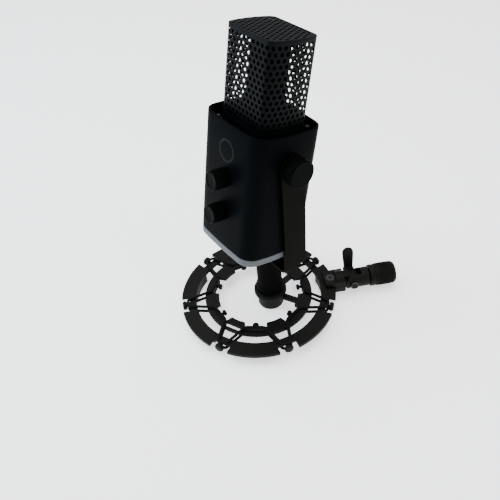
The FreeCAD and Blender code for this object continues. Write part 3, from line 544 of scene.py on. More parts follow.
@dataclass(frozen=True)
class CrownedOutline:
    """A rectangle with shallow bowed sides and rounded corners, in millimetres."""

    half_x: float
    half_y: float
    crown_x: float
    crown_y: float
    corner: float

    def inset(self, amount: float) -> "CrownedOutline":
        """Return the outline drawn in by an amount."""
        return replace(
            self, half_x=self.half_x - amount, half_y=self.half_y - amount,
            corner=max(0.5, self.corner - amount))

    def ring(self, inset: float, level: float) -> list[Point3]:
        """Return the outline, drawn in, at a level."""
        return [(x, y, level) for x, y in self.inset(inset).points()]

    def side_radius(self, half: float, crown: float) -> float:
        """Return the radius of a side's arc from its half chord and crown."""
        return (half * half + crown * crown) / (2.0 * crown)

    def points(self, side_steps: int = 14, corner_steps: int = 8) -> list[Point2]:
        """Walk round the outline against the clock, from the middle of the +X side.

        Args:
            side_steps: Segments on each side.
            corner_steps: Segments in each corner.

        Returns:
            The points of the outline.
        """
        radius_x = self.side_radius(self.half_y, self.crown_x)
        radius_y = self.side_radius(self.half_x, self.crown_y)
        centre_x = self.half_x + self.crown_x - radius_x
        centre_y = self.half_y + self.crown_y - radius_y
        reach_x, reach_y = radius_x - self.corner, radius_y - self.corner
        span = Vector((-centre_x, centre_y))
        gap = span.length
        along = (reach_x**2 - reach_y**2 + gap**2) / (2 * gap)
        off = math.sqrt(max(0.0, reach_x**2 - along**2))
        unit = span / gap
        middle = Vector((centre_x, 0.0)) + unit * along
        choices = [middle + Vector((unit.y, -unit.x)) * off, middle - Vector((unit.y, -unit.x)) * off]
        pivot = max(choices, key=lambda place: place.x + place.y)
        angle_x = math.atan2(pivot.y, pivot.x - centre_x)
        angle_y = math.atan2(pivot.y - centre_y, pivot.x)

        def arc(x: float, y: float, radius: float, start: float, end: float, steps: int) -> list[Vector]:
            """Return the points of an arc round (x, y), without its last one."""
            angles = [start + (end - start) * step / steps for step in range(steps)]
            return [Vector((x + radius * math.cos(a), y + radius * math.sin(a))) for a in angles]

        quarter = arc(centre_x, 0.0, radius_x, 0.0, angle_x, side_steps // 2)
        quarter += arc(pivot.x, pivot.y, self.corner, angle_x, angle_y, corner_steps)
        quarter += arc(0.0, centre_y, radius_y, angle_y, math.pi / 2, side_steps // 2)
        top = Vector((0.0, self.half_y + self.crown_y))
        half = quarter + [top] + [Vector((-place.x, place.y)) for place in reversed(quarter[1:])]
        whole = half + [Vector((-place.x, -place.y)) for place in half]
        return [(place.x, place.y) for place in whole]


def placed(name: str, data: bpy.types.ID) -> bpy.types.Object:
    """Return a new object that holds some data, linked to the scene."""
    item = bpy.data.objects.new(name, data)
    bpy.context.scene.collection.objects.link(item)
    return item


class Shape:
    """A mesh under construction, in its sub-assembly's millimetres."""

    def __init__(self) -> None:
        """Start with no faces."""
        self.mesh = bmesh.new()
        self.uv = self.mesh.loops.layers.uv.new("along")

    def loop(self, points: Iterable[Point3]) -> list[bmesh.types.BMVert]:
        """Add a ring of points."""
        return [self.mesh.verts.new(point) for point in points]

    def bridge(
        self, low: list[bmesh.types.BMVert], high: list[bmesh.types.BMVert],
    ) -> list[bmesh.types.BMFace]:
        """Join two rings of the same count with quads."""
        corners = zip(low, low[1:] + low[:1], high[1:] + high[:1], high)
        return [self.mesh.faces.new(corner) for corner in corners]

    def cap(self, rings: list[list[bmesh.types.BMVert]]) -> "Shape":
        """Close both ends of a run of rings."""
        self.mesh.faces.new(list(reversed(rings[0])))
        self.mesh.faces.new(rings[-1])
        return self

    def loft(self, loops: Sequence[Sequence[Point3]], ring: bool = False) -> "Shape":
        """Skin a run of rings.

        Args:
            loops: Rings of equal count, in order.
            ring: Whether the last ring joins the first; otherwise both ends are capped.

        Returns:
            The shape itself.
        """
        rings = [self.loop(points) for points in loops]
        for low, high in zip(rings, rings[1:]):
            self.bridge(low, high)
        if not ring:
            return self.cap(rings)
        self.bridge(rings[-1], rings[0])
        return self

    def lathe(self, profile: Sequence[Point2], segments: int, ring: bool = False) -> "Shape":
        """Turn a profile of radius and height about Z.

        Args:
            profile: The profile, from the lower axis outwards and up, or a closed run if ring is set.
            segments: Steps round the axis.
            ring: Whether the profile is a closed run clear of the axis.

        Returns:
            The shape itself.
        """
        turns = [TAU * index / segments for index in range(segments)]
        loops = [[(radius * math.cos(a), radius * math.sin(a), height) for a in turns]
                 for radius, height in profile]
        return self.loft(loops, ring)

    def tube(self, path: Sequence[Vector], radius: float, sides: int) -> "Shape":
        """Add a round tube along a path, with a UV map round and along it.

        Args:
            path: The points of the centre line.
            radius: The tube's radius.
            sides: Sides of its section.

        Returns:
            The shape itself.
        """
        rings = []
        run = [0.0]
        for before, after in zip(path, path[1:]):
            run.append(run[-1] + (after - before).length)
        for index, place in enumerate(path):
            ahead = (path[min(index + 1, len(path) - 1)] - path[max(index - 1, 0)]).normalized()
            side = ahead.cross(Vector((0, 0, 1))).normalized()
            up = side.cross(ahead)
            turns = [TAU * step / sides for step in range(sides)]
            spokes = [side * math.cos(a) + up * math.sin(a) for a in turns]
            rings.append(self.loop(place + spoke * radius for spoke in spokes))
        for index in range(len(rings) - 1):
            for step, face in enumerate(self.bridge(rings[index], rings[index + 1])):
                corners = ((step, index), (step + 1, index), (step + 1, index + 1), (step, index + 1))
                for corner, (around, along) in zip(face.loops, corners):
                    corner[self.uv].uv = (around / sides, run[along] * MM)
        return self.cap(rings)

    def turn(self, matrix: Matrix) -> "Shape":
        """Move the shape built so far."""
        self.mesh.transform(matrix)
        return self

    def join(self, other: "Shape") -> "Shape":
        """Take over another shape's faces."""
        spare = bpy.data.meshes.new("spare")
        other.mesh.to_mesh(spare)
        self.mesh.from_mesh(spare)
        bpy.data.meshes.remove(spare)
        return self

    def piece(self, name: str, finish: Finish) -> bpy.types.Object:
        """Make the object, still in millimetres.

        Args:
            name: The piece's name.
            finish: Its finish.

        Returns:
            The new object, linked to the scene.
        """
        bmesh.ops.recalc_face_normals(self.mesh, faces=self.mesh.faces)
        data = bpy.data.meshes.new(name)
        self.mesh.to_mesh(data)
        self.mesh.free()
        data.materials.append(finish.material())
        return placed(name, data)


@dataclass
class Assembly:
    """What every sub-assembly shares: its seat and its moving body."""

    seat: Seat
    body: str
    pieces: list[str] = field(default_factory=list)

    def publish(
        self, item: bpy.types.Object, finish: Finish, nodes: Sequence[str] = (), bevel: float = 0.0,
        body: str | None = None, crease: float = 32.0,
    ) -> bpy.types.Object:
        """Args:
            item: The piece, in the sub-assembly's millimetres.
            finish: Not used.
            nodes: The CAD nodes that it stands for.
            bevel: Width of the softened edges, in millimetres.
            body: The body that it rides on, if not the assembly's own.
            crease: Angle past which an edge stays sharp, in degrees.

        Returns:
            The finished piece.
        """
        if bevel:
            modifier = item.modifiers.new("soft_edges", "BEVEL")
            modifier.width, modifier.segments = bevel, 2
            modifier.limit_method, modifier.angle_limit = "ANGLE", math.radians(38)
            bake(item)
        item.data.transform(self.seat.matrix())
        item.data.shade_smooth()
        item.data.set_sharp_from_angle(angle=math.radians(crease))
        if bevel:
            evened = item.modifiers.new("even_shading", "WEIGHTED_NORMAL")
            evened.keep_sharp = True
            bake(item)
        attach(item, body or self.body)
        if nodes:
            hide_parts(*nodes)
        self.pieces.append(item.name)
        LOG.info("%s on %s", item.name, body or self.body)
        return item

    def add(
        self, shape: Shape, name: str, finish: Finish, nodes: Sequence[str] = (), **looks: Any,
    ) -> bpy.types.Object:
        """Make a shape into a piece and publish it with the same arguments."""
        return self.publish(shape.piece(name, finish), finish, nodes, **looks)

    def softened(
        self, node: str, finish: Finish, bevel: float = 0.3, body: str | None = None,
    ) -> bpy.types.Object:
        """Replace a CAD node by its own shape with merged faces and softened edges.

        Args:
            node: The CAD node.
            finish: The finish of the new piece.
            bevel: Width of the softened edges, in millimetres.
            body: The body that it rides on, if not the assembly's own.

        Returns:
            The finished piece.
        """
        shape = bmesh.new()
        shape.from_mesh(frame["nodes"][node].data)
        bmesh.ops.remove_doubles(shape, verts=shape.verts, dist=1e-6)
        bmesh.ops.dissolve_limit(
            shape, angle_limit=math.radians(0.6), verts=shape.verts, edges=shape.edges,
            use_dissolve_boundaries=False)
        bmesh.ops.transform(shape, matrix=self.seat.matrix().inverted(), verts=shape.verts)
        data = bpy.data.meshes.new(node + "_soft")
        shape.to_mesh(data)
        shape.free()
        data.materials.append(finish.material())
        return self.publish(placed(node + "_soft", data), finish, [node], bevel, body)

    def dress(self, finish: Finish, *nodes: str) -> None:
        """Give CAD nodes a finish.

        Args:
            finish: The finish.
            nodes: The CAD nodes.
        """
        for node in nodes:
            for slot in frame["nodes"][node].material_slots:
                slot.material = finish.material()
            LOG.info("%s keeps its CAD shape", node)


# ---- casing ----


@dataclass
class Casing(Assembly):
    """Body shell with its light band, bottom cover, deck and touch pad."""

    outline: CrownedOutline = CrownedOutline(35.4, 31.8, 3.2, 1.4, 13.0)
    wall: float = 2.0
    rise: float = 26.6
    drop: float = 83.6
    band: float = 7.2
    deck: float = 16.5
    touch_rise: float = 4.1
    touch_radius: float = 9.6

    def build(self) -> None:
        """Build every piece of the casing."""
        self.build_shell()
        self.build_band()
        self.build_deck()
        self.build_touch_pad()
        self.dress(BRASS, "pivot_bushes")
        self.softened("bottom_cover", PLASTIC_BLACK, 0.25)

    def build_shell(self) -> None:
        """Build the shell, with a rounded rim and a fine groove above the light band."""
        low = -self.drop
        steps = [
            (self.wall, low), (0.9, low), (0.35, low + 0.25), (0.3, low + 0.7), (0.0, low + 1.0),
            (0.0, 0.0), (0.0, self.rise - 0.8), (0.15, self.rise - 0.3), (0.55, self.rise),
            (self.wall - 0.55, self.rise), (self.wall - 0.15, self.rise - 0.3),
            (self.wall, self.rise - 0.8), (self.wall, 0.0)]
        shape = Shape().loft([self.outline.ring(*step) for step in steps], ring=True)
        self.add(shape, "casing_shell", CASING_BLACK, ["body_shell"])

    def build_band(self) -> None:
        """Build the light band, with a chamfered lower edge."""
        high, low = -self.drop - 0.05, -self.drop - self.band
        steps = [
            (3.0, low), (1.7, low), (1.1, low + 0.25), (0.3, low + 1.2), (0.05, low + 1.8),
            (0.05, high - 0.4), (0.4, high), (3.0, high)]
        shape = Shape().loft([self.outline.ring(*step) for step in steps], ring=True)
        self.add(shape, "light_band", BAND_GREY, ["light_ring"])

    def build_deck(self) -> None:
        """Build the deck in the rim, with its corner posts, clips and stiffening ribs."""
        self.softened("deck_plate", PLASTIC_BLACK, 0.2)
        self.softened("deck_posts", PLASTIC_BLACK, 0.3)
        self.dress(DARK_STEEL, "deck_screws")
        clips = Shape()
        for side in (-1, 1):
            for along in (-14.0, -4.5, 4.5, 14.0):
                clips.join(box_shape((side * 32.4, along, self.deck + 1.6), (3.4, 1.4, 3.4)))
                clips.join(box_shape((along * 1.35, side * 29.2, self.deck + 1.8), (1.4, 2.2, 3.8)))
            clips.join(box_shape((side * 21.0, 27.4, self.deck + 2.4), (4.6, 3.0, 5.0)))
            clips.join(box_shape((side * 21.0, -27.4, self.deck + 2.4), (4.6, 3.0, 5.0)))
        self.add(clips, "deck_clips", PLASTIC_BLACK, bevel=0.25)

    def build_touch_pad(self) -> None:
        """Build the touch pad as a shallow disc that follows the crown of the front."""
        across = self.outline
        bow = across.side_radius(across.half_x, across.crown_y)
        face = across.half_y + across.crown_y

        def pressed(radius: float, angle: float, proud: float) -> Point3:
            """Return a point of the disc on the front's crown."""
            x = radius * math.cos(angle)
            depth = face - (bow - math.sqrt(bow * bow - x * x)) + proud
            return (x, -depth, self.touch_rise + radius * math.sin(angle))

        steps = [(0.01, -1.6), (self.touch_radius, -1.6), (self.touch_radius, 0.02),
                 (self.touch_radius - 0.4, 0.05), (self.touch_radius - 1.2, 0.03),
                 (self.touch_radius - 2.4, -0.05), (4.0, -0.12), (0.01, -0.12)]
        turns = [TAU * index / 56 for index in range(56)]
        loops = [[pressed(radius, -angle, proud) for angle in turns] for radius, proud in steps]
        shape = Shape().loft(loops)
        self.add(shape, "touch_pad", TOUCH_FILM, ["mute_touch_pad"])


def box_shape(centre: Point3, size: Point3) -> Shape:
    """Return a plain block, to be softened later.

    Args:
        centre: Its middle.
        size: Its length, width and height.

    Returns:
        The shape.
    """
    half_x, half_y, half_z = (part / 2 for part in size)
    plan = [(half_x, -half_y), (half_x, half_y), (-half_x, half_y), (-half_x, -half_y)]
    loops = [[(centre[0] + x, centre[1] + y, centre[2] + level) for x, y in plan]
             for level in (-half_z, half_z)]
    return Shape().loft(loops)


# ---- grille ----


@dataclass
class Grille(Assembly):
    """Perforated wall and top with solid edges, on a base frame."""

    outline: CrownedOutline = CrownedOutline(25.6, 21.7, 2.9, 0.25, 5.4)
    sheet: float = 0.72
    low: float = 16.5
    high: float = 92.6
    cap: float = 1.2
    field_low: float = 25.1
    columns: int = 38
    rows: int = 15
    row_pitch: float = 4.32
    hole_part: float = 0.345
    lid_columns: int = 12
    lid_rows: int = 11
    lid_pitch: float = 4.4
    lid_row_pitch: float = 3.8
    lid_hole: float = 1.5

    def build(self) -> None:
        """Build every piece of the grille."""
        self.build_wall()
        self.build_edges()
        self.build_top()
        self.softened("grille_base_frame", PLASTIC_BLACK, 0.2)

    def cell(self) -> Shape:
        """Return one cell of the sheet: a unit square with a round hole.

        Returns:
            A flat shape with twelve faces round its hole.
        """
        height = self.row_pitch / self.pitch()
        edge = [(0.5, 0.0), (0.5, 0.5), (0.25, 0.5), (0.0, 0.5), (-0.25, 0.5), (-0.5, 0.5),
                (-0.5, 0.0), (-0.5, -0.5), (-0.25, -0.5), (0.0, -0.5), (0.25, -0.5), (0.5, -0.5)]
        shape = Shape()
        outer = shape.loop((x, y, 0.0) for x, y in edge)
        turns = [math.atan2(y * height, x) for x, y in edge]
        inner = shape.loop(
            (self.hole_part * math.cos(a), self.hole_part * math.sin(a) / height, 0.0) for a in turns)
        shape.bridge(inner, outer)
        for face in shape.mesh.faces:
            if face.normal.z < 0:
                face.normal_flip()
        return shape

    def perimeter(self) -> float:
        """Return the length of the outline."""
        plan = [Vector(point) for point in self.outline.points()]
        return sum((after - before).length for before, after in zip(plan, plan[1:] + plan[:1]))

    def pitch(self) -> float:
        """Return the distance between holes in a row."""
        return self.perimeter() / self.columns

    def outline_curve(self) -> bpy.types.Object:
        """Return the outline as a closed curve for the sheet to follow.

        Returns:
            A curve object, removed again once the sheet is baked.
        """
        data = bpy.data.curves.new("grille_outline", "CURVE")
        data.dimensions = "3D"
        plan = self.outline.points(20, 8)
        spline = data.splines.new("POLY")
        spline.points.add(len(plan) - 1)
        for point, (x, y) in zip(spline.points, plan):
            point.co = (x, y, 0.0, 1.0)
        spline.use_cyclic_u = True
        return placed("grille_outline", data)

    def build_wall(self) -> None:
        """Wrap the perforated sheet round the outline and give it its thickness."""
        shape = self.cell()
        data = bpy.data.meshes.new("grille_sheet")
        shape.mesh.normal_update()
        shape.mesh.to_mesh(data)
        shape.mesh.free()
        item = placed("grille_sheet", data)
        curve = self.outline_curve()
        top = self.field_low + self.rows * self.row_pitch
        wrapped_sheet_recipe().apply(
            item, Outline=curve, Columns=self.columns, Rows=self.rows, Low=self.field_low, High=top,
            Finish=GRILLE_BLACK.material())
        bpy.data.objects.remove(curve)
        thickness = item.modifiers.new("sheet", "SOLIDIFY")
        thickness.thickness, thickness.offset = self.sheet, 1.0
        bake(item)
        self.publish(item, GRILLE_BLACK, ["grille_wall"])

    def build_edges(self) -> None:
        """Build the solid bands above and under the holes, a hair proud of the sheet."""
        top = self.field_low + self.rows * self.row_pitch
        outer, inner = -0.03, self.sheet + 0.04
        for name, low, high in (("lower", self.low, self.field_low + 0.25),
                                ("upper", top - 0.25, self.high - self.cap)):
            steps = [(inner, low), (outer, low), (outer, high), (inner, high)]
            shape = Shape().loft([self.outline.ring(*step) for step in steps], ring=True)
            self.add(shape, "grille_%s_edge" % name, GRILLE_BLACK)

    def build_top(self) -> None:
        """Build the drilled top plate with its rounded edge."""
        low = self.high - self.cap
        steps = [(0.3, low), (-0.03, low), (-0.03, self.high - 0.35), (0.08, self.high - 0.1),
                 (0.4, self.high)]
        plate = Shape().loft([self.outline.ring(*step) for step in steps]).piece("grille_lid", GRILLE_BLACK)
        drilled_plate_recipe().apply(
            plate, Columns=self.lid_columns, Rows=self.lid_rows, Pitch=self.lid_pitch,
            Row_pitch=self.lid_row_pitch, Hole_radius=self.lid_hole,
            Reach_X=self.outline.half_x + 0.4, Reach_Y=self.outline.half_y - 1.6,
            Level=self.high - self.cap / 2, Finish=GRILLE_BLACK.material())
        self.publish(plate, GRILLE_BLACK, ["grille_top"])


@dataclass
class Capsule(Assembly):
    """The capsule in its cradle, inside the foam screen."""

    def build(self) -> None:
        """Soften the foam screen and dress what it hides."""
        self.softened("foam_screen", FOAM_BLACK, 1.0)
        self.dress(STEEL, "capsule_housing")
        self.dress(BRASS, "capsule_backplate")
        self.dress(FILM_GOLD, "capsule_diaphragms")
        self.dress(PLASTIC_BLACK, "capsule_cradle")


@dataclass
class Electronics(Assembly):
    """Boards, potentiometers and sockets inside the casing."""

    def build(self) -> None:
        """Dress the boards and soften the sockets that show underneath."""
        self.dress(BOARD_GREEN, "main_board", "control_board", "led_board", "socket_board")
        self.dress(STEEL, "gain_potentiometer", "volume_potentiometer", "gain_shaft", "volume_shaft")
        self.dress(BRASS, "xlr_pins")
        self.dress(PLASTIC_BLACK, "xlr_insulator")
        self.softened("xlr_socket_shell", DARK_STEEL, 0.25)
        self.softened("usb_socket", STEEL, 0.15)
        self.softened("headphone_socket", BRASS, 0.2)


# ---- knobs ----


class Control(Enum):
    """The two knobs on the front."""

    GAIN = ("gain_knob", "gain_control")
    VOLUME = ("volume_knob", "volume_control")


@dataclass
class FrontKnob(Assembly):
    """A turned control knob with a chamfered face."""

    node: str = ""
    radius: float = 8.25
    length: float = 13.0
    start: float = 33.7

    def build(self) -> None:
        """Build the knob from its profile."""
        edge = self.radius
        profile = [
            (3.2, 0.0), (edge - 0.35, 0.0), (edge - 0.1, 0.3), (edge, 0.9), (edge, self.length - 0.9),
            (edge - 0.12, self.length - 0.75), (edge - 0.7, self.length - 0.1),
            (edge - 0.95, self.length), (edge - 1.6, self.length), (edge - 1.9, self.length - 0.12),
            (3.0, self.length - 0.12), (0.6, self.length - 0.12)]
        shape = Shape().lathe(profile, 72)
        level = self.start_level()
        lay = Matrix.Translation((0, -self.start, level)) @ Matrix.Rotation(math.radians(90), 4, "X")
        shape.turn(lay)
        self.add(shape, self.node + "_turned", KNOB_BLACK, [self.node], crease=24.0)

    def start_level(self) -> float:
        """Return the knob's height along the casing."""
        middle = sum((Vector(corner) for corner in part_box(self.node)), Vector()) / 2
        return (self.seat.matrix().inverted() @ middle).z


@dataclass
class TiltKnob(Assembly):
    """A tilt knob beside the yoke, with a stepped neck."""

    side: str = "right"
    radius: float = 11.75
    length: float = 10.5
    start: float = 42.6

    def build(self) -> None:
        """Build the knob and dress its stud."""
        edge = self.radius
        profile = [
            (3.2, 0.0), (edge - 1.7, 0.0), (edge - 1.6, 1.2), (edge - 0.5, 1.2), (edge, 1.7),
            (edge, self.length - 1.0), (edge - 0.15, self.length - 0.75), (edge - 0.75, self.length - 0.12),
            (edge - 1.0, self.length), (edge - 1.9, self.length), (edge - 2.2, self.length - 0.15),
            (4.0, self.length - 0.15), (0.8, self.length - 0.15)]
        shape = Shape().lathe(profile, 80)
        sign = 1.0 if self.side == "right" else -1.0
        shape.turn(Matrix.Rotation(sign * math.radians(90), 4, "Y"))
        shape.turn(Matrix.Translation((sign * self.start, 0, 0)))
        node = "tilt_knob_" + self.side
        self.add(shape, node + "_turned", KNOB_BLACK, [node], crease=24.0)
        self.dress(STEEL, "tilt_stud_" + self.side)


# ---- yoke ----


@dataclass
class Yoke(Assembly):
    """The bent bar, its washers, and the stem that stands on the hub."""

    stem_radius: float = 12.1
    stem_foot: float = 21.8
    stem_bore: float = 7.9
    bar_under: float = 110.2
    pivot_level: float = 187.7

    def build(self) -> None:
        """Build the bar and the stem."""
        self.softened("yoke_bracket", YOKE_BLACK, 0.45)
        self.softened("friction_washers", PLASTIC_BLACK, 0.15)
        self.softened("stem_bolt", DARK_STEEL, 0.3)
        self.softened("stem_washer", STEEL, 0.2)
        self.build_stem()

    def build_stem(self) -> None:
        """Turn the stem, with its ribs above the collar."""
        foot = self.stem_foot - self.pivot_level
        top = -self.bar_under
        radius = self.stem_radius
        profile = [(self.stem_bore, foot), (radius + 0.7, foot), (radius + 1.0, foot + 0.3)]
        for rib in range(3):
            level = foot + 2.1 * rib
            profile += [
                (radius + 1.0, level + 1.0), (radius + 0.7, level + 1.3), (radius + 0.1, level + 1.45),
                (radius + 0.1, level + 1.95), (radius + 0.7, level + 2.1), (radius + 1.0, level + 2.4)]
        profile += [(radius + 1.0, foot + 7.2), (radius + 0.2, foot + 8.0), (radius, foot + 8.4),
                    (radius, top - 0.5), (radius - 0.5, top), (self.stem_bore, top)]
        shape = Shape().lathe(profile, 72, ring=True)
        self.add(shape, "stem_turned", STEM_BLACK, ["stand_stem"], crease=28.0)


# ---- shock mount ----


@dataclass
class ShockMount(Assembly):
    """Both suspension rings with their pegs, the hub, the collar and the elastic cord."""

    hub_body: str = "hub"
    collar_body: str = "collar"
    count: int = 7
    bridge: float = 69.8
    inner_rim: float = 45.0
    cord: float = 1.45
    cord_level: float = 3.25
    cord_past_bridge: float = 1.5
    cord_past_rim: float = 0.8
    outer_run: float = 4.3
    inner_run: float = 9.6
    cord_bend: float = 2.6
    cord_held_outside: float = 64.0
    cord_held_inside: float = 53.0
    collar_radius: float = 16.2
    collar_span: Point2 = (14.4, 21.6)
    collar_ribs: int = 44
    thread_bore: float = 7.9

    def build(self) -> None:
        """Build every piece of the mount."""
        self.softened("outer_ring", MOUNT_BLACK, 0.45)
        self.softened("inner_ring", MOUNT_BLACK, 0.4, self.hub_body)
        self.dress(DARK_STEEL, "hub_stud")
        polar = polar_recipe()
        self.build_pegs(polar)
        self.build_collar(polar)
        for index in range(self.count):
            self.build_strand(index)

    def step(self) -> float:
        """Return the angle between neighbouring pegs of a ring."""
        return TAU / self.count

    def build_pegs(self, polar: Recipe) -> None:
        """Turn one peg of each ring and repeat it.

        Args:
            polar: The recipe that repeats a piece round the axis.
        """
        outer = [(0.4, 0.0), (1.6, 0.0), (1.55, 2.9), (3.4, 3.1), (4.2, 3.6), (4.5, 4.4), (4.5, 5.8),
                 (4.2, 6.7), (3.4, 7.3), (2.0, 7.4), (0.4, 7.4)]
        inner = [(0.4, 0.0), (1.6, 0.0), (1.5, 2.6), (2.3, 2.8), (2.9, 3.3), (3.1, 4.1), (3.0, 5.0),
                 (2.5, 5.6), (1.6, 5.9), (0.4, 5.9)]
        for name, profile, reach, turn, start, body in (
                ("outer", outer, self.bridge, 90.0, self.step() / 2, self.body),
                ("inner", inner, self.inner_rim, -90.0, 0.0, self.hub_body)):
            lay = Matrix.Translation((reach, 0, 0)) @ Matrix.Rotation(math.radians(turn), 4, "Y")
            item = Shape().lathe(profile, 28).turn(lay).piece("%s_peg_set" % name, MOUNT_BLACK)
            polar.apply(item, Count=self.count, Start_angle=start, Finish=MOUNT_BLACK.material())
            self.publish(item, MOUNT_BLACK, [name + "_pegs"], body=body, crease=40.0)

    def build_collar(self, polar: Recipe) -> None:
        """Turn the lock collar and set its grip ribs round it.

        Args:
            polar: The recipe that repeats a piece round the axis.
        """
        low, high = self.collar_span
        edge = self.collar_radius - 0.45
        profile = [
            (self.thread_bore, low), (edge - 1.0, low), (edge - 0.3, low + 0.5), (edge, low + 1.0),
            (edge, high - 1.0), (edge - 0.3, high - 0.5), (edge - 1.0, high), (self.thread_bore, high)]
        table = table_seat()
        stand = Assembly(table, self.collar_body)
        collar = Shape().lathe(profile, 72, ring=True).piece("collar_turned", MOUNT_BLACK)
        stand.publish(collar, MOUNT_BLACK, ["lock_collar"])
        tip = self.collar_radius
        plan = [(edge - 0.2, -0.45), (tip, -0.2), (tip, 0.2), (edge - 0.2, 0.45)]
        loops = [[(x, y, level) for x, y in plan] for level in (low + 0.9, high - 0.9)]
        rib = Shape().loft(loops).piece("collar_ribs", MOUNT_BLACK)
        polar.apply(rib, Count=self.collar_ribs, Start_angle=0.0, Finish=MOUNT_BLACK.material())
        stand.publish(rib, MOUNT_BLACK)
        self.pieces += stand.pieces

    def build_strand(self, index: int) -> None:
        """Lay the two runs of cord from an outer peg to the middle of both neighbouring inner pegs.

        Args:
            index: Which outer peg.
        """
        half = self.step() / 2
        outer_reach = self.bridge + self.cord_past_bridge
        inner_reach = self.inner_rim + self.cord_past_rim

        def near_inner(side: int, off: float) -> Point2:
            """Return a point behind an inner peg, off along the rim."""
            spot = Matrix.Rotation(side * half, 2) @ Vector((inner_reach, -side * off))
            return (spot.x, spot.y)

        plan = [
            near_inner(-1, 0.0), near_inner(-1, self.inner_run), (outer_reach, -self.outer_run),
            (outer_reach, self.outer_run), near_inner(1, self.inner_run), near_inner(1, 0.0)]
        smooth = eased(plan, self.cord_bend)
        shape = Shape()
        for rise in (-self.cord_level, self.cord_level):
            shape.tube([Vector((x, y, rise)) for x, y in smooth], self.cord, 12)
        angle = self.step() * (index + 0.5)
        shape.turn(Matrix.Rotation(angle, 4, "Z"))
        item = shape.piece("elastic_cord_%d" % (index + 1), ELASTIC_BLACK)
        nodes = ["elastic_cord_outer", "elastic_cord_inner"] if index == 0 else []
        item.data.transform(self.seat.matrix())
        item.data.shade_smooth()
        along = self.seat.matrix() @ Matrix.Rotation(angle, 4, "Z")
        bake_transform(item)
        if nodes:
            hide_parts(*nodes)
        self.pieces.append(item.name)
        LOG.info("%s between %s and %s", item.name, self.body, self.hub_body)


# ---- stand adapter ----


@dataclass
class StandAdapter(Assembly):
    """Lug, swivel clamp, knurled stand socket and wing screw."""

    swivel: float = 97.5
    socket_start: float = 114.8
    socket_end: float = 141.3
    socket_radius: float = 11.6
    thread_radius: float = 8.0
    wing_side: float = 11.6
    knurl_ribs: int = 56
    knurl_slant: float = 14.0

    def build(self) -> None:
        """Build every piece of the adapter."""
        self.softened("swivel_lug", MOUNT_BLACK, 0.7)
        self.softened("lug_bolt", DARK_STEEL, 0.2)
        self.softened("swivel_clamp", MOUNT_BLACK, 0.6, "adapter")
        self.softened("swivel_nut", DARK_STEEL, 0.2, "adapter")
        self.build_socket()
        self.build_wing()

    def build_socket(self) -> None:
        """Turn the knurled socket and set its slanted ribs round it."""
        length = self.socket_end - self.socket_start
        edge = self.socket_radius - 0.5
        bore = self.thread_radius
        profile = [(6.1, 0.0), (edge - 0.9, 0.0), (edge - 0.2, 0.4), (edge, 1.0), (edge, 4.2),
                   (edge - 0.6, 4.6), (edge - 0.6, 5.4), (edge, 5.8), (edge, length - 2.2),
                   (edge - 0.3, length - 1.2), (edge - 1.1, length - 0.3), (edge - 1.9, length)]
        depth = 7.4
        turns = 9
        for turn in range(turns * 2):
            level = length - 0.8 - turn * (length - depth - 1.6) / (turns * 2)
            profile.append((bore + (0.0 if turn % 2 else 0.45), level))
        profile += [(bore, depth), (6.1, depth)]
        lay = Matrix.Translation((self.socket_start, 0, 0)) @ Matrix.Rotation(math.radians(90), 4, "Y")
        socket = Shape().lathe(profile, 72, ring=True).turn(lay).piece("socket_turned", MOUNT_BLACK)
        self.publish(socket, MOUNT_BLACK, ["stand_socket"], body="socket")
        slant = math.radians(self.knurl_slant)
        loops = []
        for step in range(7):
            part = step / 6
            level = 6.0 + (length - 8.4) * part
            lift = 0.5 * min(1.0, 4.0 * part + 0.2, 4.0 * (1.0 - part) + 0.2)
            plan = [(edge - 0.2, -0.42), (edge + lift, -0.12), (edge + lift, 0.12), (edge - 0.2, 0.42)]
            swing = Matrix.Rotation(slant * part, 2)
            turned = [swing @ Vector(point) for point in plan]
            loops.append([(point.x, point.y, level) for point in turned])
        rib = Shape().loft(loops).piece("socket_knurl", MOUNT_BLACK)
        polar_recipe().apply(rib, Count=self.knurl_ribs, Start_angle=0.0, Finish=MOUNT_BLACK.material())
        rib.data.transform(lay)
        self.publish(rib, MOUNT_BLACK, body="socket")

    def build_wing(self) -> None:
        """Build the wing screw: boss, shaft and a rounded paddle."""
        profile = [
            (0.4, 0.0), (2.5, 0.0), (2.9, 0.4), (2.9, 22.0), (5.0, 22.2), (5.5, 22.8),
            (5.5, 27.5), (5.0, 28.4), (3.6, 28.7), (1.6, 28.7), (1.5, 28.1), (0.4, 28.1)]
        shape = Shape().lathe(profile, 40)
        shape.turn(Matrix.Rotation(math.radians(-90), 4, "X"))
        shape.turn(Matrix.Translation((self.swivel, -12.0, 0)))
        outline = []
        for step in range(25):
            angle = math.pi * step / 24
            outline.append((5.5 * math.cos(angle), 24.5 + 5.5 * math.sin(angle)))
        outline += [(-5.2, 16.0), (-4.7, 7.0), (-4.5, 1.0), (4.5, 1.0), (4.7, 7.0), (5.2, 16.0)]
        loops = []
        for inset, level in ((1.3, 0.0), (0.5, 0.25), (0.0, 1.0), (0.0, 3.5), (0.5, 4.25), (1.3, 4.5)):
            across, along = 1.0 - inset / 5.5, 1.0 - inset / 15.0
            depth = self.wing_side + level
            loops.append([(x * across, depth, 14.0 + (z - 14.0) * along) for x, z in outline])
        lean = Matrix.Translation((self.swivel, 0, 0)) @ Matrix.Rotation(math.radians(-4.0), 4, "Y")
        paddle = Shape().loft(loops).turn(lean)
        shape.join(paddle)
        self.add(shape, "wing_screw_cast", MOUNT_BLACK, ["wing_screw"], body="wing", crease=40.0)


# ---- studio ----


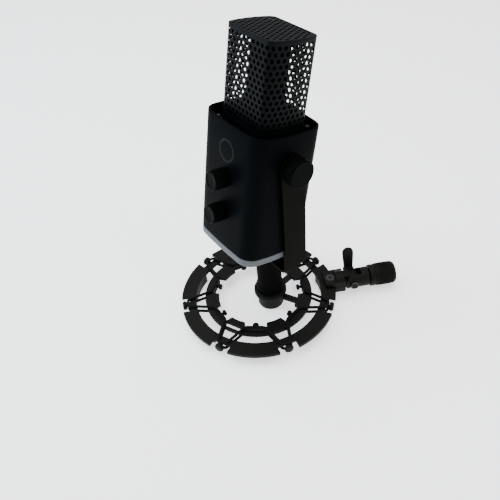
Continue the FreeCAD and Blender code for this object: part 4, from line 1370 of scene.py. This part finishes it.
@dataclass(frozen=True)
class Studio:
    """Floor, lights and camera round the object."""

    target: Point3 = (-0.0182, -0.0079, 0.0637)
    azimuth: float = 57.3
    elevation: float = 43.6
    distance: float = 0.55
    roll: float = 5.92
    lens: float = 40.8
    sky: float = 0.75
    floor_reach: float = 4000.0

    def build(self) -> None:
        """Set up the studio."""
        self.build_floor()
        self.build_lights()
        self.build_camera()

    def build_floor(self) -> None:
        """Lay the pale floor."""
        reach = self.floor_reach
        shape = Shape().lathe([(0.01, -12.0), (reach, -12.0), (reach, -0.4), (0.01, -0.4)], 64)
        floor = shape.piece("studio_floor", FLOOR_WHITE)
        floor.data.transform(Matrix.Scale(MM, 4))

    def build_lights(self) -> None:
        """Hang soft lights and an even sky."""
        world = bpy.data.worlds.new("studio_sky")
        world.use_nodes = True
        sky = world.node_tree.nodes["Background"]
        sky.inputs["Color"].default_value = (0.96, 0.98, 1.0, 1.0)
        sky.inputs["Strength"].default_value = self.sky
        bpy.context.scene.world = world
        lights = (
            ("overhead", (-0.2, -0.1, 1.5), 1.6, 42.0, (1.0, 1.0, 1.0)),
            ("window", (-1.0, -1.1, 0.9), 0.9, 20.0, (0.52, 0.78, 1.0)),
            ("lamp", (1.2, 0.3, 0.9), 0.7, 5.0, (1.0, 0.93, 0.74)),
        )
        for name, place, size, power, colour in lights:
            data = bpy.data.lights.new(name, "AREA")
            data.size, data.energy, data.color = size, power, colour
            lamp = placed(name, data)
            lamp.location = place
            aim = Vector((0, 0, 0.12)) - Vector(place)
            lamp.rotation_euler = aim.to_track_quat("-Z", "Y").to_euler()

    def build_camera(self) -> None:
        """Stand the camera at its angle."""
        swing, lift = math.radians(self.azimuth - 90.0), math.radians(self.elevation)
        away = Vector((math.cos(swing) * math.cos(lift), math.sin(swing) * math.cos(lift), math.sin(lift)))
        level_right = away.cross(Vector((0, 0, 1))).normalized() * -1.0
        level_up = away.cross(level_right)
        lean = math.radians(self.roll)
        right = level_right * math.cos(lean) - level_up * math.sin(lean)
        up = level_up * math.cos(lean) + level_right * math.sin(lean)
        data = bpy.data.cameras.new("camera")
        data.lens = self.lens
        camera = placed("camera", data)
        place = Matrix((right, up, away)).transposed().to_4x4()
        place.translation = Vector(self.target) + away * self.distance
        camera.matrix_world = place
        bpy.context.scene.camera = camera


def main() -> None:
    """Build the studio and every sub-assembly, and report the pieces."""
    logging.basicConfig(level=logging.INFO, format="%(name)s: %(message)s")
    Studio().build()
    leaning, upright = microphone_seat(), upright_seat()
    ring = ring_seat(StandAdapter.swivel)
    assemblies: list[Assembly] = [
        Casing(leaning, "mic"),
        Grille(leaning, "mic"),
        Capsule(leaning, "mic"),
        Electronics(leaning, "mic"),
    ]
    for control in Control:
        node, body = control.value
        assemblies.append(FrontKnob(leaning, body, node=node))
    for side in ("left", "right"):
        assemblies.append(TiltKnob(upright, side + "_thumb", side=side))
    assemblies += [
        Yoke(upright, "yoke"), ShockMount(ring, "mount_base"), StandAdapter(ring, "mount_base")]
    for assembly in assemblies:
        assembly.build()
        LOG.info("%s: %d pieces", type(assembly).__name__, len(assembly.pieces))


if __name__ == "__main__":
    main()
